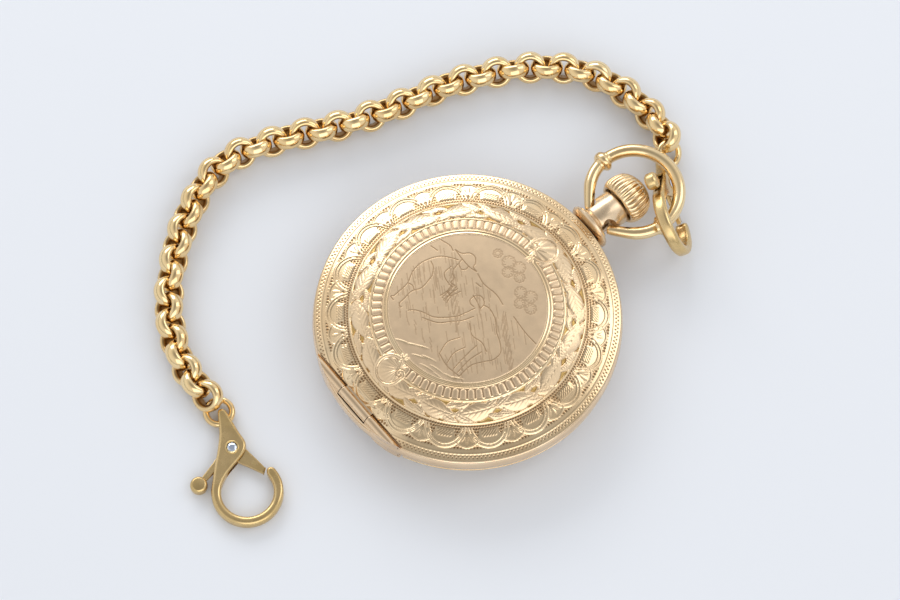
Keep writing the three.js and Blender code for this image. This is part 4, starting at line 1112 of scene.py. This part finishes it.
def make_case():
    """The case's middle band with its hinge knuckles, the bezel, the crystal and the dust cover."""
    profile = [(22, 4.9), (25.85, 4.9), (26.15, 5.3), (26.3, 6.1), (26.3, 6.9), (26.15, 7.7), (25.85, 8.1),
               (22.6, 8.1), (22.6, 7.6), (23.4, 7.5), (23.4, 5.5), (22, 5.4)]

    def milled(r, h, turn):
        """A fine cord edge round the middle of the band."""
        if r < 26.05:
            return np.full(len(turn), r)
        return r - 0.03 * (0.5 + 0.5 * np.cos(turn * 240 + (h - MID_Z) * 3))

    heights = [MID_Z - HINGE_RISE, MID_Z + HINGE_RISE]
    rooms = [disc_rod(-3.5, 3.5, HINGE_Y, z, 1.1) for z in heights]
    rooms.append(disc_rod(-3.3, 3.3, DUST_HINGE_Y, DUST_HINGE_Z, 0.72))
    rooms.append(box((-1.6, 20, MID_Z + 1), (1.6, 23.65, 9)))
    rooms.append(placed(disc_slab(1.1, 20, 28, 0.01), (0, 0, MID_Z), (1, 0, 0), (0, 0, -1)))
    band_part = carved(lathe(rounded(profile, 0.2, 2), 1200, flutes=milled), *rooms)
    spans = ((-10.9, -3.5), (3.5, 10.9))
    knuckles = [flush(knuckle(*span, HINGE_Y, z)) for span in spans for z in heights]
    webs = [box((low, -24.6, 5.0), (high, -23.3, 8.0)) for low, high in ((-8.5, -4), (4, 8.5))]
    band_part = joined(band_part, *knuckles, *webs)
    mesh_piece("case_band_fine", *band_part, "case", "pink_gold", replaces="case_band")

    bezel = rounded([(20.3, 8.6), (22.8, 8.4), (22.8, 8.75), (21.2, 9.4), (20.3, 9.6)], 0.15, 3)
    bezel = carved(lathe(bezel, 240), box((-2, 21.4, 8), (2, 24, 10)))
    mesh_piece("bezel_fine", *bezel, "case", "pink_gold", replaces="bezel")
    below = [(r, 10.55 - 1.5 * (r / 20) ** 2) for r in (0.05, 5, 10, 14, 17, 19, 19.9)]
    above = [(r, z + 0.5) for r, z in below[::-1]]
    mesh_piece("crystal_fine", *lathe(below + above, 160), "case", "crystal", replaces="crystal")

    below = [(0.05, 0.9), (13, 0.95), (16.5, 1.85), (19.5, 2.95), (22.9, 4.2)]
    above = [(r, z + 0.35) for r, z in below[::-1]]
    cover = carved(lathe(below + above, 180), box((-30, -30, -1), (30, -21.25, 9)))
    mesh_piece("dust_cover_fine", *cover, "dust_cover", "pale_gold", replaces="dust_cover")
    barrel = knuckle(-3.2, 3.2, DUST_HINGE_Y, DUST_HINGE_Z, 0.6)
    barrel = joined(barrel, box((-3, -22, 4.05), (3, -21.0, 4.35)))
    mesh_piece("dust_cover_barrel", *barrel, "dust_cover", "pale_gold")


def disc_rod(low, high, y, z, radius, sides=32):
    """A solid rod along X, for cutting."""
    turn = circle(sides)
    line = [np.full(sides, 0.0), y + radius * np.cos(turn), z + radius * np.sin(turn)]
    rows = [np.stack(line, -1) + (x, 0, 0) for x in (low, high)]
    return skin(rows, capped=True)


def make_pendant():
    """The collar under the crown, with a bore for the bow's ends and room for their swing."""
    outline = [(0.98, 26.3), (3.05, 26.3), (3.7, 26.5), (4.12, 26.8), (4.2, 27.1), (4.05, 27.4),
               (3.5, 27.7), (3.0, 27.85), (2.86, 28.1), (3.06, 28.35), (3.12, 28.6), (3.12, 32.9),
               (3.02, 33.08), (2.25, 33.1), (2.2, 31.6), (0.98, 31.6)]
    part = lathe(outline, 96, "y", (0, 0, MID_Z))
    swept = ((0.7, 0, 1.5), (0.2, 1.2, 1.45), (0.2, -1.2, 1.45))
    rooms = [
        disc_rod(low, high, STEM_Y + dy, MID_Z + dz, radius)
        for low, high in ((-4.5, -1.7), (1.7, 4.5)) for dy, dz, radius in swept
    ]
    part = carved(part, *rooms, disc_rod(-4.5, 4.5, STEM_Y, MID_Z, 0.9))
    mesh_piece("pendant_fine", *part, "case", "pink_gold", "satin_gold", replaces="pendant")


def make_crown():
    """The ribbed crown, with painted shade in its grooves."""
    start = 33.3
    ribs = 28
    profile = [(0.05, 1.1), (3.3, 1.1), (3.35, 0.1), (3.7, 0.02), (3.95, 0.3), (4.15, 0.7), (4.3, 1.2),
               (4.35, 1.7), (4.32, 2.3), (4.22, 2.9), (4.05, 3.5), (3.75, 4.1), (3.3, 4.6), (2.75, 5.0),
               (2.0, 5.38), (1.2, 5.58), (0.05, 5.66)]

    def fluted(r, h, turn):
        depth = 0.34 * min(1, max(0, (h - 0.25) / 0.5)) * min(1, max(0, (4.75 - h) / 0.7))
        if r < 2.8 or h < 0.25:
            depth = 0
        return r - depth * (1 - np.abs(np.cos(turn * ribs / 2)) ** 0.45)

    points, faces = lathe(profile, ribs * 12, "y", (0, start, MID_Z), fluted)
    across, up = points[:, 0], points[:, 2] - MID_Z
    # groove marks the bottoms of the flutes, which get painted shade
    low = np.abs(np.cos(ribs / 2 * np.arctan2(up, across)))
    groove = np.clip((0.35 - low) / 0.3, 0, 1) * (np.hypot(across, up) > 2.9) * (points[:, 1] > start + 0.4)
    part = ("crown_fine", points, faces, "crown", "pale_gold", "crown_gold")
    mesh_piece(*part, replaces="crown", masks={"inside": groove}, crease=180)


def make_bow():
    """The bow: a round bar with a collar on each side, whose thinner ends go into the pendant."""
    middle_y, radius = 37.2, 7.7
    angles = np.radians(np.linspace(-49, 229, 300))
    ring = np.stack([radius * np.cos(angles), middle_y + radius * np.sin(angles)], -1)
    end = through([(2.35, STEM_Y), (3.25, 29.82), (4.2, 30.62), tuple(ring[0])], 7)[:-1]
    line = softened(np.vstack([end, ring, end[::-1] * (-1, 1)]), 14, closed=False)
    from_end = np.minimum(np.arange(len(ring)), np.arange(len(ring))[::-1])
    thick = 1.0 + 0.1 * np.clip(from_end / 12, 0, 1)
    for side in (math.radians(-3.7), math.radians(183.7)):
        away = np.abs(angles - side) * radius
        collar = 0.72 * np.clip(1 - (away / 0.8) ** 2, 0, 1) ** 0.45
        shoulder = 0.16 * np.clip(1 - ((away - 0.8) / 0.3) ** 4, 0, 1)
        thick = thick + np.maximum(collar, shoulder)
    thin = 0.62 + 0.38 * (np.arange(len(end)) / len(end)) ** 0.35
    line = np.column_stack([line, np.full(len(line), MID_Z)])
    part = tube(line, np.concatenate([thin, thick, thin[::-1]]), 32)
    mesh_piece("bow_fine", *part, "bow", "pale_gold", replaces="bow", crease=50)


# ---------------- dial and hands

DIAL_Z = 8.35
INK = 0.03  # thickness of the printing
NUMERAL_R = 15.6
SECONDS_AT = (9.2, 0)


def bar(start, end, half, z=DIAL_Z):
    """A thin flat bar between two points."""
    ahead = (end - start) / np.linalg.norm(end - start)
    side = np.array((-ahead[1], ahead[0])) * half
    return slab([start - side, end - side, end + side, start + side], z, z + INK, 0.004, 1)


def numeral_strokes(text):
    """Strokes of a Roman numeral as ((x, y), (x, y), half width), centred on zero, 3 mm tall."""
    widths = {"I": 0.75, "V": 1.5, "X": 1.5}
    end = sum(widths[c] for c in text) / 2
    strokes = []
    x = -end
    for c in text:
        left, middle, right = x + 0.15, x + widths[c] / 2, x + widths[c] - 0.15
        if c == "I":
            strokes.append(((middle, -1.4), (middle, 1.4), 0.17))
        else:
            foot_right, foot_left = (middle, middle) if c == "V" else (right, left)
            strokes.append(((left, 1.4), (foot_right, -1.4), 0.19))
            strokes.append(((right, 1.4), (foot_left, -1.4), 0.08))
        x += widths[c]
    return strokes + [((-end, y), (end, y), 0.06) for y in (-1.45, 1.45)]


def make_dial_marks():
    """Printed numerals and minute tracks; XII is towards -X and III towards +Y."""
    numerals = ("XII", "I", "II", "III", "IIII", "V", "VI", "VII", "VIII", "IX", "X", "XI")
    parts = []
    for hour, text in enumerate(numerals):
        if text == "VI":
            continue
        turn = math.pi - hour * TAU / 12
        out = np.array((math.cos(turn), math.sin(turn)))
        right = np.array((out[1], -out[0]))
        for (ax, ay), (bx, by), half in numeral_strokes(text):
            start = out * (NUMERAL_R + ay) + right * ax
            end = out * (NUMERAL_R + by) + right * bx
            parts.append(bar(start, end, half))
    for minute in range(60):
        turn = minute * TAU / 60
        out = np.array((math.cos(turn), math.sin(turn)))
        parts.append(bar(out * 18.3, out * 19.0, 0.11 if minute % 5 == 0 else 0.05))
        if minute % 5 in (0, 2):
            half = 0.07 if minute % 15 == 0 else 0.04
            parts.append(bar(out * 3.5 + SECONDS_AT, out * 4.2 + SECONDS_AT, half, 8.06))
    for inner in (18.2, 19.1):
        outer = inner + 0.07
        ring = [(inner, DIAL_Z), (outer, DIAL_Z), (outer, DIAL_Z + INK), (inner, DIAL_Z + INK)]
        parts.append(lathe(ring, 180))
    mesh_piece("dial_printing", *joined(*parts), "case", "enamel", "ink")


HOUR_OUTLINE = [(1.0, 0.4), (4, 0.28), (7.6, 0.26), (8.3, 0.6), (9.3, 1.05), (10.2, 0.75), (10.8, 0.2),
                (11.8, 0.12), (12.6, 0.02)]
MINUTE_OUTLINE = [(0.95, 0.4), (5, 0.28), (11.5, 0.24), (12.3, 0.5), (13.2, 0.85), (14.1, 0.6),
                  (14.7, 0.18), (16, 0.1), (17.6, 0.02)]


def make_hand(node_name, body, low, high, turn, outline, boss):
    """A flat hand with a spade outline (half of it, from boss to tip, is given) and a bored boss."""
    half = np.array(outline, dtype=float)
    whole = np.vstack([half, (half * (1, -1))[::-1]])
    ring = lathe([(0.7, low), (boss, low), (boss, high), (0.7, high)], 48)
    part = joined(slab(through(whole, 3, closed=True), low, high, 0.02, 2), ring)
    c, s = math.cos(math.radians(turn)), math.sin(math.radians(turn))
    hand = placed(part, (0, 0, 0), (c, s, 0), (-s, c, 0))
    mesh_piece(node_name + "_fine", *hand, body, "blued_steel", replaces=node_name)


# ---------------- assembly

make_camera()
make_floor()
make_world()
area_light("key", (-0.35, 1.0, 0.62), 0.8, (0.7, 0.35), 2.2)
area_light("front", (0.3, -1.0, 0.8), 0.9, (1.0, 0.6), 1.8)
area_light("fill", (0.9, 0.35, 0.85), 0.9, (0.4, 0.6), 0.9)
bpy.context.scene.view_settings.view_transform = "Standard"

slots = {row["node"]: row["material_slot"] for row in frame["record"]["subparts"]}
for name, obj in frame["nodes"].items():
    for material_slot in obj.material_slots:
        material_slot.material = MATERIALS[slots[name]]

chain, chain_path, chain_start, chain_end = make_chain()
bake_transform(chain)
make_clasp("a", "bow", (-3.34, 46.32, 1.56), (0.70238, 0.0002, -0.71181), (-0.59213, 0.55513, -0.58413), 45)
clasp_b = make_clasp("b", "case", (-15.16, -41.9, 1.15), (0.63693, 0.77092, 0), (-0.77092, 0.63693, 0), 0)

make_cover("lid", "front_lid", 1, lid_relief)
make_cover("back", "rear_cover", -1, back_relief)
make_case()
make_pendant()
make_crown()
make_bow()
make_dial_marks()
make_hand("hour_hand", "hour", 8.7, 8.88, 235, HOUR_OUTLINE, 1.3)
make_hand("minute_hand", "minute", 9.1, 9.26, 120, MINUTE_OUTLINE, 1.1)
